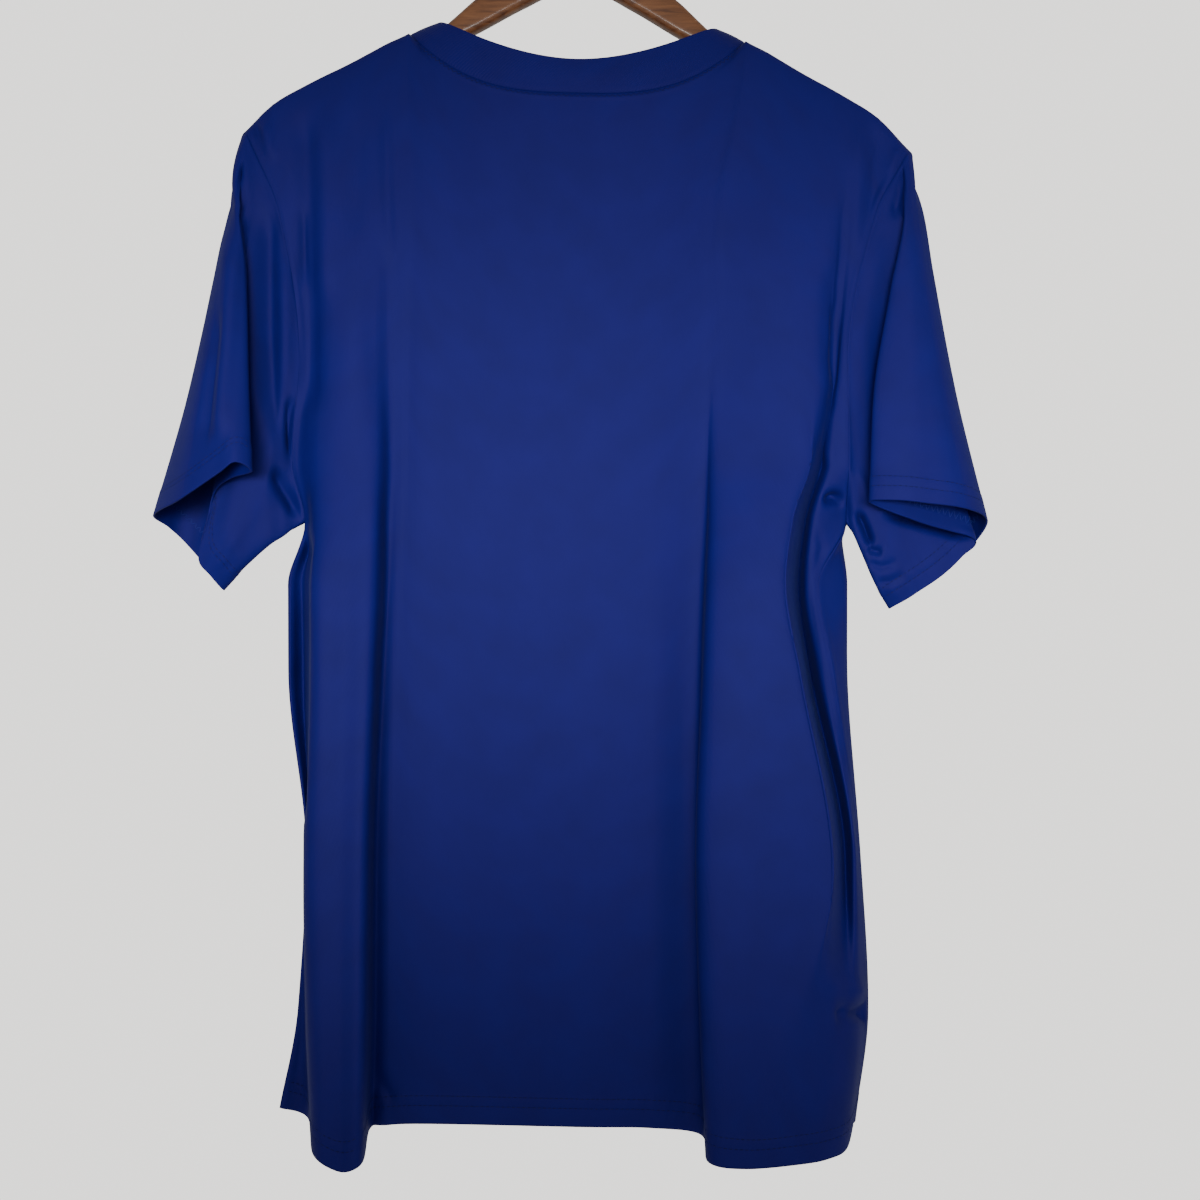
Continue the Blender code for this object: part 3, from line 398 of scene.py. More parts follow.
def unit(vectors):
    return vectors / np.maximum(np.linalg.norm(vectors, axis=-1, keepdims=True), 1e-9)


def runAcross(points):  # length along each row from its first column
    steps = np.linalg.norm(np.diff(points, axis=1), axis=2)
    return np.concatenate([np.zeros((len(points), 1)), np.cumsum(steps, axis=1)], axis=1)


def runDown(points):  # length down each column from its first row
    steps = np.linalg.norm(np.diff(points, axis=0), axis=2)
    return np.concatenate([np.zeros((1, points.shape[1])), np.cumsum(steps, axis=0)], axis=0)


def onPhoto(points):  # the photo pixel that each point shows at
    scale = cameraAway / (cameraAway - points[..., 1]) / pixelWide
    return np.stack([photoMiddle + (points[..., 0] - cameraX) * scale,
                     photoMiddle - (points[..., 2] - cameraZ) * scale], axis=-1)


def fold(where, path, wide, deep, lean, fade):
    # deep * exp(-(distance / wide)^2) from a path, with the width times lean on the path's right hand, and a
    # smooth start and end over fade, or over 0.28 of the path if that is less
    path = np.asarray(path, float)
    best = np.full(where.shape[:-1], 1e9)
    along = np.zeros_like(best)
    right = np.zeros_like(best)
    start = 0.0
    for a, b in zip(path[:-1], path[1:]):
        way = b - a
        length = math.hypot(*way)
        t = np.clip(((where - a) @ way) / length**2, 0, 1)
        gap = where - (a + t[..., None] * way)
        distance = np.hypot(gap[..., 0], gap[..., 1])
        nearer = distance < best
        best = np.where(nearer, distance, best)
        along = np.where(nearer, start + t * length, along)
        right = np.where(nearer, way[0] * gap[..., 1] - way[1] * gap[..., 0], right)
        start += length
    ends = np.clip(np.minimum(along, start - along) / min(fade, 0.28 * start), 0, 1)
    width = np.where(right > 0, wide * lean, wide)
    return deep * bell(best, width) * ends**2 * (3 - 2 * ends)


# Creases on each piece: path and half width in photo pixels, height in millimetres (below 0 is a trough),
# lean, and the fold lines that it stays between. One with a further number moves the cloth straight along
# the depth, and fades over that many pixels at its ends.
creases = {
    "back_panel": (
        (((266, 118), (269, 140), (272, 162)), 6, 2.4, 1.0, (0, 4)),
        (((254, 118), (257, 130), (262, 142)), 4, -2.0, 1.0, (0, 4)),
        (((304, 104), (307, 150), (309, 205), (311, 300), (311, 420)), 10, -3.0, 1.2, (0, 5)),
        (((302, 200), (302, 240), (303, 290)), 4, -1.8, 1.0, (0, 3.2)),
        (((326, 104), (325, 200), (322, 310)), 12, 1.8, 1.0, (0, 5)),
        (((358, 104), (357, 180), (356, 245)), 10, -1.1, 1.0, (1.5, 6)),
        (((387, 106), (388, 180), (391, 275)), 7, 1.7, 1.0, (3, 8)),
        (((311, 530), (307, 590), (304, 670), (306, 750), (310, 830)), 8.5, -14.0, 1.0, (0.2, 2.0), 26.0),
        (((898, 146), (897, 160), (891, 178)), 6, 1.8, 1.0, (12, 16)),
        (((878, 118), (877, 160), (873, 230)), 9, -2.0, 1.0, (11, 16)),
        (((858, 112), (858, 180), (853, 265)), 8, 1.5, 1.0, (10, 16)),
        (((834, 250), (832, 320), (831, 392)), 6, -2.2, 1.6, (12, 16)),
        (((835, 295), (835, 340), (834, 396)), 3, -1.8, 1.0, (12, 16)),
        (((831, 400), (829, 440), (828, 470)), 5, 2.4, 1.0, (13, 16)),
        (((820, 502), (834, 498), (847, 500), (857, 517)), 5.5, -9.0, 1.0, (13.4, 16)),
        (((858, 520), (846, 534), (832, 552)), 4.5, -3.0, 1.0, (13, 16)),
        (((858, 514), (851, 496), (848, 466)), 4.5, -3.0, 1.0, (13, 16)),
        (((855, 524), (849, 546), (846, 576)), 4.5, -2.6, 1.0, (13, 16)),
        (((815, 528), (822, 545), (818, 566)), 4, -1.2, 1.0, (13, 16)),
        (((368, 1074), (381, 1080), (394, 1106)), 6, -1.6, 1.0, (4.5, 8)),
        (((822, 994), (845, 988), (870, 990)), 8, 2.6, 1.0, (12, 16)),
        (((832, 1019), (848, 1013), (876, 1013)), 6, -8.0, 1.0, (12, 16)),
    ),
    "front_panel": (
        (((330, 120), (326, 220), (322, 340)), 14, 1.6, 1.0, (0.5, 4)),
        (((868, 125), (872, 220), (878, 330)), 13, 1.5, 1.0, (6, 9.5)),
        (((440, 260), (452, 380), (448, 520)), 16, -1.6, 1.0, (2.5, 6)),
        (((742, 250), (735, 390), (744, 560)), 15, -1.8, 1.0, (4, 7.5)),
        (((312, 522), (360, 500), (425, 466)), 9, -2.0, 1.3, (0, 5)),
        (((318, 560), (372, 556), (430, 530)), 8, -1.4, 1.3, (0, 5)),
        (((878, 515), (835, 500), (770, 476)), 9, -1.8, 1.3, (5, 10)),
        (((520, 700), (528, 860), (515, 1000)), 20, -1.5, 1.0, (3, 6)),
        (((650, 640), (660, 820), (655, 980)), 22, 1.7, 1.0, (4, 7)),
    ),
    "sleeve_left": (
        (((290, 392), (291, 425), (294, 462)), 5, -5.0, 1.2, (0, 3.5)),
        (((237, 152), (240, 176), (242, 202), (243, 228)), 4, -4.5, 1.0, (4.2, 7.2)),
        (((233, 225), (228, 310), (223, 385), (219, 452)), 8, 3.6, 1.0, (6, 11)),
        (((221, 300), (214, 360), (205, 430), (202, 460)), 7, -3.6, 1.0, (6, 10.4)),
        (((269, 200), (269, 260), (269, 330), (272, 395), (281, 452)), 9, -4.4, 1.0, (0.6, 4.8)),
        (((249, 215), (251, 300), (253, 380), (257, 450)), 9, 4.0, 1.0, (0.8, 4.9), 60.0),
        (((284, 250), (286, 320), (283, 385)), 8, 1.6, 1.0, (0, 4)),
        (((272, 466), (285, 492), (305, 524)), 6.5, -6.0, 1.0, (0, 3)),
        (((232, 230), (218, 320), (204, 420)), 11, -1.8, 1.0, (10.6, 13.4)),
        (((285, 470), (258, 490), (232, 502)), 7, -1.4, 1.2, (11, 13.9)),
    ),
    "sleeve_right": (
        (((908, 160), (900, 190), (893, 222)), 5, -2.6, 1.0, (0.5, 7)),
        (((880, 230), (866, 320), (860, 420)), 10, 1.2, 1.0, (0, 4)),
        (((856, 510), (864, 526), (872, 548)), 4.5, -7.0, 1.0, (0, 4)),
        (((866, 548), (874, 551), (884, 553)), 4, -3.0, 1.0, (0, 4)),
        (((880, 512), (925, 523), (978, 538)), 5, -9.0, 1.0, (0.4, 4.4)),
        (((856, 466), (864, 490), (866, 506)), 5, 1.8, 1.0, (0, 4)),
        (((866, 562), (882, 567), (900, 562)), 4, -1.6, 1.0, (0, 4)),
        (((874, 582), (890, 582), (906, 574)), 4, -1.4, 1.0, (0, 4)),
        (((935, 240), (945, 330), (955, 430)), 11, -1.8, 1.0, (10.6, 13.4)),
        (((868, 470), (895, 488), (925, 500)), 7, -1.4, 1.2, (11, 13.9)),
    ),
}


hems = {  # how far the two stitch rows are from each open edge
    "back_panel": (18.0, 11.8), "front_panel": (18.0, 11.8),
    "sleeve_left": (16.0, 12.6), "sleeve_right": (15.2, 9.2),
}
finish = {
    "turnUp": 0.3, "turnPast": 0.8, "turnSoft": 0.5,  # the step where the hem's second layer ends
    "groove": 0.17, "grooveWide": 0.75,  # under each stitch row
    "pucker": 0.16, "puckerLength": 8.5, "puckerWide": 7, "puckerLean": 0.16,
    "puckerDrift": (1.7, 31), "puckerFade": (0.65, 0.35, 47),  # their uneven spacing and depth along the hem
    "ridge": 0.22, "ridgeAt": 2.4, "ridgeWide": 1.5, "ridgeStart": 1.2,  # the seam allowance lifts the cloth
    "creaseEnds": 40.0, "creaseSides": 0.4, "creaseToSeam": 3.5, "hemToSeam": 3,
}


def creased(name, piece):  # the grid moved along its normals by its creases, its seams' ridges and its hem
    points, at, closed = piece["points"], piece["at"], piece["closed"]
    photo = onPhoto(points)
    height, straight = np.zeros(points.shape[:2]), np.zeros(points.shape[:2])
    for path, wide, deep, lean, (first, last), *ends in creases.get(name, ()):
        part = fold(photo, path, wide, deep, lean, ends[0] if ends else finish["creaseEnds"])
        inside = [np.clip(gap / finish["creaseSides"], 0, 1) for gap in (at - first, last - at)]
        part *= inside[0] * inside[1]
        if ends:
            straight += part
        else:
            height += part
    fromSeam = runDown(points)
    across = runAcross(points)
    edge = fromSeam if closed else np.minimum(fromSeam, np.minimum(across, across[:, -1:] - across))
    height *= 1 - bell(edge, finish["creaseToSeam"])
    straight *= 1 - bell(edge, finish["creaseToSeam"])
    ridge = finish["ridge"] * bell(edge - finish["ridgeAt"], finish["ridgeWide"])
    height += ridge * (1 - bell(edge, finish["ridgeStart"]))
    if name in hems:
        upper, lower = hems[name]
        fromHem = fromSeam[-1:] - fromSeam
        turned = 1 / (1 + np.exp((fromHem - upper - finish["turnPast"]) / finish["turnSoft"]))
        (drift, driftLength), (least, more, fadeLength) = finish["puckerDrift"], finish["puckerFade"]
        phase = 2 * np.pi * across / finish["puckerLength"] + drift * np.sin(across / driftLength)
        wave = np.sin(phase + fromHem * finish["puckerLean"])
        near = bell(fromHem - (upper + lower) / 2, finish["puckerWide"])
        wave *= near * (least + more * np.sin(across / fadeLength))
        grooves = sum(bell(fromHem - row, finish["grooveWide"]) for row in (upper, lower))
        hemmed = finish["turnUp"] * turned + finish["pucker"] * wave - finish["groove"] * grooves
        height += hemmed * (1 if closed else 1 - bell(edge, finish["hemToSeam"]))
    moved = points + unit(normalsOf(points, closed)) * piece["outward"] * height[..., None]
    moved[..., 1] += straight
    return moved


def neckColumns(panel):  # the first and last columns of the neck's edge
    return [sum(panel["lines"][:line]) * cloth["finerAcross"] for line in panel["neckLines"]]


# Sewn grids
back, backAt = panelGrid(backPanel)
front, frontAt = panelGrid(frontPanel)
armpitBack, armpitFront = armpitRow(backPanel), armpitRow(frontPanel)
backFirst, backLast = neckColumns(backPanel)
frontFirst, frontLast = neckColumns(frontPanel)
# the shoulder seams and the side seams are the back panel's own edges, point for point
front[0, : frontFirst + 1] = back[0, : backFirst + 1]
front[0, frontLast:] = back[0, backLast:]
front[armpitFront:, 0] = back[armpitBack:, 0]
front[armpitFront:, -1] = back[armpitBack:, -1]
band = bandGrid(back[0, backFirst : backLast + 1], front[0, frontFirst : frontLast + 1])
left, leftAt = sleeveGrid(back[: armpitBack + 1, 0], front[: armpitFront + 1, 0], leftSleeve)
right, rightAt = sleeveGrid(back[: armpitBack + 1, -1], front[: armpitFront + 1, -1], rightSleeve)
bandAt = np.arange(band.shape[1]) / cloth["finerAcross"]

sewn = {}
for name, points, at, closed, outward in (
        ("back_panel", back, backAt, False, 1), ("front_panel", front, frontAt, False, -1),
        ("sleeve_left", left, leftAt, True, -1), ("sleeve_right", right, rightAt, True, 1),
        ("neckband", band, bandAt, True, -1)):
    wall = cloth["ribWall" if name == "neckband" else "wall"]
    sewn[name] = {"points": points, "at": at, "closed": closed, "outward": outward, "wall": wall}
    sewn[name]["points"] = creased(name, sewn[name])
print("stage: grids made")


def sew(pieces):  # walls point outwards, and points that pieces share take one common normal
    for piece in pieces.values():
        normal = normalsOf(piece["points"], piece["closed"]) * piece["outward"]
        length = np.linalg.norm(normal, axis=2)
        facesRound = np.full(length.shape, 4.0)
        facesRound[[0, -1]] /= 2
        if not piece["closed"]:
            facesRound[:, [0, -1]] /= 2
        piece["widening"] = np.minimum(facesRound / np.maximum(length, 1e-9), cloth["mostWidening"])
        piece["normals"] = normal / np.maximum(length, 1e-9)[..., None]
    every = np.concatenate([piece["points"].reshape(-1, 3) for piece in pieces.values()])
    keys = np.round(every * 1000).astype(int)
    normals = np.concatenate([piece["normals"].reshape(-1, 3) for piece in pieces.values()])
    _, same, count = np.unique(keys, axis=0, return_inverse=True, return_counts=True)
    same = same.reshape(-1)
    total = np.zeros((len(count), 3))
    np.add.at(total, same, normals)
    total = unit(total)
    start = 0
    for piece in pieces.values():
        shape = piece["points"].shape[:2]
        mine = same[start : start + shape[0] * shape[1]].reshape(shape)
        start += shape[0] * shape[1]
        piece["sewn"] = count[mine] > 1
        piece["normals"] = np.where(piece["sewn"][..., None], total[mine], piece["normals"])
        piece["widening"] = np.where(piece["sewn"], 1.0, piece["widening"])
        piece["pull"] = -cloth["seamLap"] * np.where(count[mine] < 3, 0.5, 1.0)
        if piece["closed"]:
            followSeam(piece)


def followSeam(piece):  # points that only this piece has on its seam take the normal between the sewn ones
    mark = piece["sewn"][0]
    if np.count_nonzero(mark) < 3:
        return
    edge, normal = piece["points"][0], piece["normals"][0]
    run = runAlong(edge)
    period = run[-1] + np.linalg.norm(edge[0] - edge[-1])
    between = alongPath(run, run[mark], normal[mark], period)
    piece["normals"][0] = np.where(mark[:, None], normal, unit(between))
    piece["widening"][0] = 1.0
    piece["sewn"][0] = True


def meetSeams(piece):
    # each sewn edge goes half the lap past its seam line, or all of it where three pieces meet
    points, normals, mark, pull = (piece[part] for part in ("points", "normals", "sewn", "pull"))
    moved = points.copy()
    every = slice(None)
    edges = [((0, every), (1, every)), ((-1, every), (-2, every))]
    if not piece["closed"]:
        edges += [((every, 0), (every, 1)), ((every, -1), (every, -2))]
    for place, inner in edges:
        edge, normal, isSewn = points[place], normals[place], mark[place]
        if np.count_nonzero(isSewn) < 3:
            continue
        ahead = np.roll(edge, -1, axis=0) if piece["closed"] else np.vstack([edge[1:], edge[-1:]])
        behind = np.roll(edge, 1, axis=0) if piece["closed"] else np.vstack([edge[:1], edge[:-1]])
        across = unit(np.cross(normal, ahead - behind))
        across *= np.sign(np.sum(across * (points[inner] - edge), axis=1))[:, None]
        moved[place] += across * (pull[place] * isSewn)[:, None]
    piece["points"] = moved


def inMetres(points):
    return np.stack([points[..., 0], -points[..., 1], points[..., 2]], axis=-1) / 1000


def addObject(name, data):
    thing = bpy.data.objects.new(name, data)
    bpy.context.scene.collection.objects.link(thing)
    return thing


def meshFrom(name, vertices, faces, uv=None):  # faces is a list with each face's vertex numbers
    mesh = bpy.data.meshes.new(name)
    mesh.from_pydata(inMetres(vertices).tolist(), [], faces)
    if uv is not None:
        layer = mesh.uv_layers.new(name="cloth")
        corner = np.empty(len(mesh.loops), np.int32)
        mesh.loops.foreach_get("vertex_index", corner)
        layer.data.foreach_set("uv", uv[corner].astype(np.float32).reshape(-1))
    mesh.shade_smooth()
    return addObject(name, mesh)


def wallOf(name, piece):  # a closed wall: outer and inner skins and a rim round each open edge
    points, normals = piece["points"], piece["normals"]
    rows, columns = points.shape[:2]
    half = normals * piece["widening"][..., None] * piece["wall"] / 2
    skins = np.concatenate([(points + half).reshape(-1, 3), (points - half).reshape(-1, 3)])
    across = runAcross(points)
    across = across - across[:, columns // 2 : columns // 2 + 1] * (0 if piece["closed"] else 1)
    uv = np.stack([across, -runDown(points)], axis=-1).reshape(-1, 2) / 1000
    number = np.arange(rows * columns).reshape(rows, columns)
    ring = np.concatenate([number, number[:, :1]], axis=1) if piece["closed"] else number
    skin = np.stack([ring[:-1, :-1], ring[1:, :-1], ring[1:, 1:], ring[:-1, 1:]], axis=-1).reshape(-1, 4)
    border = [ring[0, ::-1], ring[-1]]
    if not piece["closed"]:
        border += [ring[:, 0], ring[::-1, -1]]
    total = rows * columns
    rim = [np.stack([run[1:], run[:-1], run[:-1] + total, run[1:] + total], axis=-1) for run in border]
    faces = np.concatenate([skin, skin[:, ::-1] + total] + rim)
    if piece["outward"] < 0:
        faces = faces[:, ::-1]
    return meshFrom(name, skins, faces.tolist(), np.concatenate([uv, uv]))


sew(sewn)
shown = {}
for name, piece in sewn.items():
    meetSeams(piece)
    shown[name] = wallOf(name + "_cloth", piece)
    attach(shown[name], "root")
    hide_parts(name)
print("stage: cloth made", {name: len(thing.data.polygons) * 2 for name, thing in shown.items()})


# Stitches
thread = {
    "wide": 0.5, "high": 0.34, "long": 2.6, "pitch": 3.3, "clear": 0.03, "sunk": 0.45, "sides": 5,
    "rings": ((0.1, 0.7), (0.5, 1.0), (0.9, 0.7)),  # share of the stitch's length, and how full it is there
    "insidePitch": 2.2, "neckAway": 1.9, "neckPitch": 1.7, "neckWide": 1.9,
}


def levelRow(piece, distance, skin, fromHem=True):  # the path at this distance from the hem or the seam
    points = piece["points"]
    run = runDown(points)
    run = run[-1:] - run if fromHem else run
    inside = run > distance
    row = np.argmin(inside, axis=0) if fromHem else np.argmax(inside, axis=0)
    row = np.clip(row, 1, len(points) - 1)[None, :]
    before, after = np.take_along_axis(run, row - 1, 0)[0], np.take_along_axis(run, row, 0)[0]
    t = np.clip((distance - before) / np.where(after == before, 1, after - before), 0, 1)[:, None]
    pick = lambda grid, shift: np.take_along_axis(grid, (row - shift)[..., None], 0)[0]
    place = pick(points, 1) * (1 - t) + pick(points, 0) * t
    normal = unit(pick(piece["normals"], 1) * (1 - t) + pick(piece["normals"], 0) * t)
    if piece["closed"]:
        place, normal = np.vstack([place, place[:1]]), np.vstack([normal, normal[:1]])
    return place + normal * skin * (piece["wall"] / 2 + thread["clear"]), normal * skin


def stitchesOn(path, normal, pitch, long, zigzag=0.0):  # start, end and normal of each stitch along a path
    run = runAlong(path)
    count = int(run[-1] / pitch)
    starts = (np.arange(count) + 0.2) * run[-1] / count
    a, b = alongPath(starts, run, path), alongPath(starts + long, run, path)
    n = unit(alongPath(starts + long / 2, run, normal))
    if zigzag:
        across = unit(np.cross(n, b - a)) * zigzag / 2
        flip = np.where(np.arange(count) % 2, 1.0, -1.0)[:, None]
        a, b = a - across * flip, b + across * flip
    return a, b, n


def threadMesh(name, rows):  # each stitch is a short rounded bar: rings of points and a point at each end
    a, b, n = (np.concatenate([row[part] for row in rows]) for part in range(3))
    way = unit(b - a)
    side = unit(np.cross(way, n))
    up = np.cross(side, way)
    sides = thread["sides"]
    turns = np.radians(np.arange(sides) * 360 / sides + 90)
    rings = []
    for share, full in thread["rings"]:
        centre = a + (b - a) * share
        ring = (centre[:, None] + side[:, None] * np.cos(turns)[None, :, None] * thread["wide"] / 2 * full
                + up[:, None] * np.sin(turns)[None, :, None] * thread["high"] / 2 * full)
        rings.append(ring)
    sunk = thread["high"] * thread["sunk"]
    points = np.concatenate([(a - up * sunk)[:, None]] + rings + [(b - up * sunk)[:, None]], axis=1)
    base = np.arange(sides)
    ahead = (base + 1) % sides
    firsts = [1 + ring * sides for ring in range(len(rings))]
    end = 1 + len(rings) * sides
    quads = [np.stack([first + base, first + ahead, first + sides + ahead, first + sides + base], -1)
             for first in firsts[:-1]]
    caps = [np.stack([0 * base, 1 + ahead, 1 + base], -1),
            np.stack([firsts[-1] + base, firsts[-1] + ahead, end + 0 * base], -1)]
    offset = np.arange(len(a))[:, None, None] * (end + 1)
    faces = []
    for kind in (np.concatenate(quads), np.concatenate(caps)):
        faces += (kind[None] + offset).reshape(-1, kind.shape[1]).tolist()
    thing = meshFrom(name, points.reshape(-1, 3), faces)
    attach(thing, "root")
    return thing


hemRows, insideRows, neckRows = [], [], []
for name, distances in hems.items():
    for distance in distances:
        path, normal = levelRow(sewn[name], distance, 1)
        hemRows.append(stitchesOn(path, normal, thread["pitch"], thread["long"]))
    path, normal = levelRow(sewn[name], sum(distances) / 2, -1)
    pitch = thread["insidePitch"]
    insideRows.append(stitchesOn(path, normal, pitch, pitch, zigzag=distances[0] - distances[1]))
for name, first, last in (("back_panel", backFirst, backLast), ("front_panel", frontFirst, frontLast)):
    path, normal = levelRow(sewn[name], thread["neckAway"], 1, fromHem=False)
    part, pitch = slice(first, last + 1), thread["neckPitch"]
    neckRows.append(stitchesOn(path[part], normal[part], pitch, pitch, zigzag=thread["neckWide"]))
stitches = {}
for name, rows in (("hem_stitches", hemRows), ("inside_stitches", insideRows), ("neck_stitches", neckRows)):
    stitches[name] = threadMesh(name, rows)
print("stage: stitches made", {name: len(thing.data.polygons) for name, thing in stitches.items()})


# The wooden hanger and its hook
boardShape = {"rings": 70, "endTurns": (8, 74, 10), "cornerPoints": 9, "leastFull": 0.09, "mostCorner": 0.9}


def boardRing(x, turns):
    # depth and z round the board at x: a bar with rounded edges, which closes as a quarter ellipse at its end
    profile = np.array(armProfile)
    side = abs(x)
    top = glide(profile[:, 0], profile[:, 1], [side])[0]
    bottom = glide(profile[:, 0], profile[:, 2], [side])[0]
    intoEnd = max(0.0, side - (hanger["reach"] - hanger["endRounding"])) / hanger["endRounding"]
    fullness = math.sqrt(max(1 - intoEnd**2, boardShape["leastFull"]))
    half = hanger["thickness"] / 2 * fullness
    middle, tall = (top + bottom) / 2, (top - bottom) / 2 * fullness
    slope = math.hypot(1, np.interp(side, profile[1:, 0], np.diff(profile[:, 1]) / np.diff(profile[:, 0])))
    across = hanger["rounding"] * fullness
    down = min(across * slope, boardShape["mostCorner"] * tall)
    cornerDepth, cornerZ = half - across + across * np.sin(turns), tall - down + down * np.cos(turns)
    depth = np.concatenate([cornerDepth, cornerDepth[::-1], -cornerDepth, -cornerDepth[::-1]])
    return depth, middle + np.concatenate([cornerZ, -cornerZ[::-1], -cornerZ, cornerZ[::-1]])


def tubeMesh(name, rings):  # quads between neighbouring rings, and one face over each end
    count, around = rings.shape[:2]
    number = np.arange(count * around).reshape(count, around)
    ahead = np.roll(number, -1, axis=1)
    quads = np.stack([number[:-1], ahead[:-1], ahead[1:], number[1:]], axis=-1).reshape(-1, 4)
    ends = [number[0, ::-1].tolist(), number[-1].tolist()]
    return meshFrom(name, rings.reshape(-1, 3), quads.tolist() + ends)


def boardMesh():  # rings from one arm's end to the other, closer together at the ends
    straight = hanger["reach"] - hanger["endRounding"]
    endTurns = np.radians(np.linspace(*boardShape["endTurns"]))
    end = hanger["reach"] - hanger["endRounding"] * (1 - np.sin(endTurns))
    half = np.concatenate([np.linspace(0, straight, boardShape["rings"]), end])
    turns = np.radians(np.linspace(0, 90, boardShape["cornerPoints"]))
    rings = []
    for x in np.concatenate([-half[:0:-1], half]):
        depth, z = boardRing(x, turns)
        rings.append(tilted(np.stack([np.full_like(z, x), depth, z], axis=-1)))
    return tubeMesh("wooden_arms", np.stack(rings))


hook = {
    "wire": 2.0, "bend": 21.0, "tip": 200.0, "shank": -52.0,  # two radii, and the angles where the bend ends
    "shankPath": ((6.2, -41.0), (1.2, -47.5), (0.0, -56.0), (0.0, -68.0), (0.0, -89.0)),
    "bendRings": 90, "shankRings": 50, "sides": 20, "tipRings": (0.5, 0.86, 1.0),
}


def hookMesh():  # a round wire carried along an arc and an eased shank
    centreZ = hook["wire"] - hook["bend"]
    angles = np.radians(np.linspace(hook["tip"], hook["shank"], hook["bendRings"]))
    x, z = hook["bend"] * np.cos(angles), centreZ + hook["bend"] * np.sin(angles)
    shank = np.array([(x[-1], z[-1]), *hook["shankPath"]])
    steps = flow(shank, np.linspace(0, len(shank) - 1, hook["shankRings"]))[1:]
    route = np.concatenate([np.stack([x, z], axis=-1), steps])
    way = unit(np.gradient(route, axis=0))
    side = np.stack([way[:, 1], -way[:, 0]], axis=-1)
    turns = np.radians(np.arange(hook["sides"]) * 360 / hook["sides"])
    out = hook["wire"] * np.cos(turns)[None, :, None] * side[:, None, :]
    ringX, ringZ = route[:, None, 0] + out[..., 0], route[:, None, 1] + out[..., 1]
    ringDepth = np.broadcast_to(hook["wire"] * np.sin(turns)[None, :], ringX.shape)
    rings = np.stack([ringX, ringDepth, ringZ], axis=-1)
    centre = np.array([route[0, 0], 0, route[0, 1]])
    dome = []
    for share in hook["tipRings"]:  # a rounded tip
        shrink = math.sqrt(max(1 - share**2, 0.0))
        beyond = np.array([-way[0, 0], 0, -way[0, 1]]) * hook["wire"] * share
        dome.append(centre + (rings[0] - centre) * max(shrink, 0.02) + beyond)
    return tubeMesh("steel_hook", np.concatenate([np.stack(dome[::-1]), rings]))


board = boardMesh()
wire = hookMesh()
for thing, node in ((board, "hanger_arms"), (wire, "hanger_hook")):
    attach(thing, "root")
    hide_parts(node)
print("stage: hanger made")


# Materials
def newGroup(name, inputs, outputs):
    group = bpy.data.node_groups.new(name, "ShaderNodeTree")
    for label, kind, value in inputs:
        socket = group.interface.new_socket(name=label, in_out="INPUT", socket_type=kind)
        if value is not None:
            socket.default_value = value
    for label, kind in outputs:
        group.interface.new_socket(name=label, in_out="OUTPUT", socket_type=kind)
    nodes = group.nodes
    return group, nodes.new("NodeGroupInput"), nodes.new("NodeGroupOutput")


def mathNode(tree, kind, first, second=None, third=None):
    node = tree.nodes.new("ShaderNodeMath")
    node.operation = kind
    for index, value in enumerate((first, second, third)):
        if value is None:
            continue
        if isinstance(value, (int, float)):
            node.inputs[index].default_value = value
        else:
            tree.links.new(value, node.inputs[index])
    return node.outputs[0]


def noiseNode(tree, vector, scale, detail=2.0, distortion=0.0):
    node = tree.nodes.new("ShaderNodeTexNoise")
    node.inputs["Scale"].default_value = scale
    node.inputs["Detail"].default_value = detail
    node.inputs["Distortion"].default_value = distortion
    if vector is not None:
        tree.links.new(vector, node.inputs["Vector"])
    return node.outputs["Fac"]


yarn = {
    "legSlope": 1.2, "courseDepth": 0.3,
    "fuzzScale": 900.0, "fuzz": 0.35, "shadeScale": 35.0, "shadeDetail": 3.0,
}


def knitGroup():
    # jersey: sin across each wale times a cosine down each course, whose legs lean into a V, plus fine noise
    inputs = (("Vector", "NodeSocketVector", None), ("Wale", "NodeSocketFloat", 0.8),
              ("Course", "NodeSocketFloat", 0.65))
    outputs = (("Height", "NodeSocketFloat"), ("Shade", "NodeSocketFloat"))
    group, entry, leave = newGroup("knit", inputs, outputs)
    split = group.nodes.new("ShaderNodeSeparateXYZ")
    group.links.new(entry.outputs["Vector"], split.inputs[0])
    u, v = (mathNode(group, "MULTIPLY", split.outputs[axis], 1000.0) for axis in range(2))  # millimetres
    u = mathNode(group, "DIVIDE", u, entry.outputs["Wale"])
    v = mathNode(group, "DIVIDE", v, entry.outputs["Course"])
    inWale = mathNode(group, "FRACT", u)
    wale = mathNode(group, "SINE", mathNode(group, "MULTIPLY", inWale, math.pi))
    fromMiddle = mathNode(group, "ABSOLUTE", mathNode(group, "SUBTRACT", inWale, 0.5))
    leg = mathNode(group, "ADD", v, mathNode(group, "MULTIPLY", fromMiddle, yarn["legSlope"]))
    course = mathNode(group, "COSINE", mathNode(group, "MULTIPLY", leg, 2 * math.pi))
    course = mathNode(group, "MULTIPLY", course, yarn["courseDepth"])
    course = mathNode(group, "ADD", course, 1 - yarn["courseDepth"])
    fuzz = noiseNode(group, entry.outputs["Vector"], yarn["fuzzScale"])
    fuzz = mathNode(group, "MULTIPLY", fuzz, yarn["fuzz"])
    height = mathNode(group, "ADD", mathNode(group, "MULTIPLY", wale, course), fuzz)
    group.links.new(height, leave.inputs["Height"])
    shade = noiseNode(group, entry.outputs["Vector"], yarn["shadeScale"], yarn["shadeDetail"])
    group.links.new(shade, leave.inputs["Shade"])
    return group


knit = knitGroup()


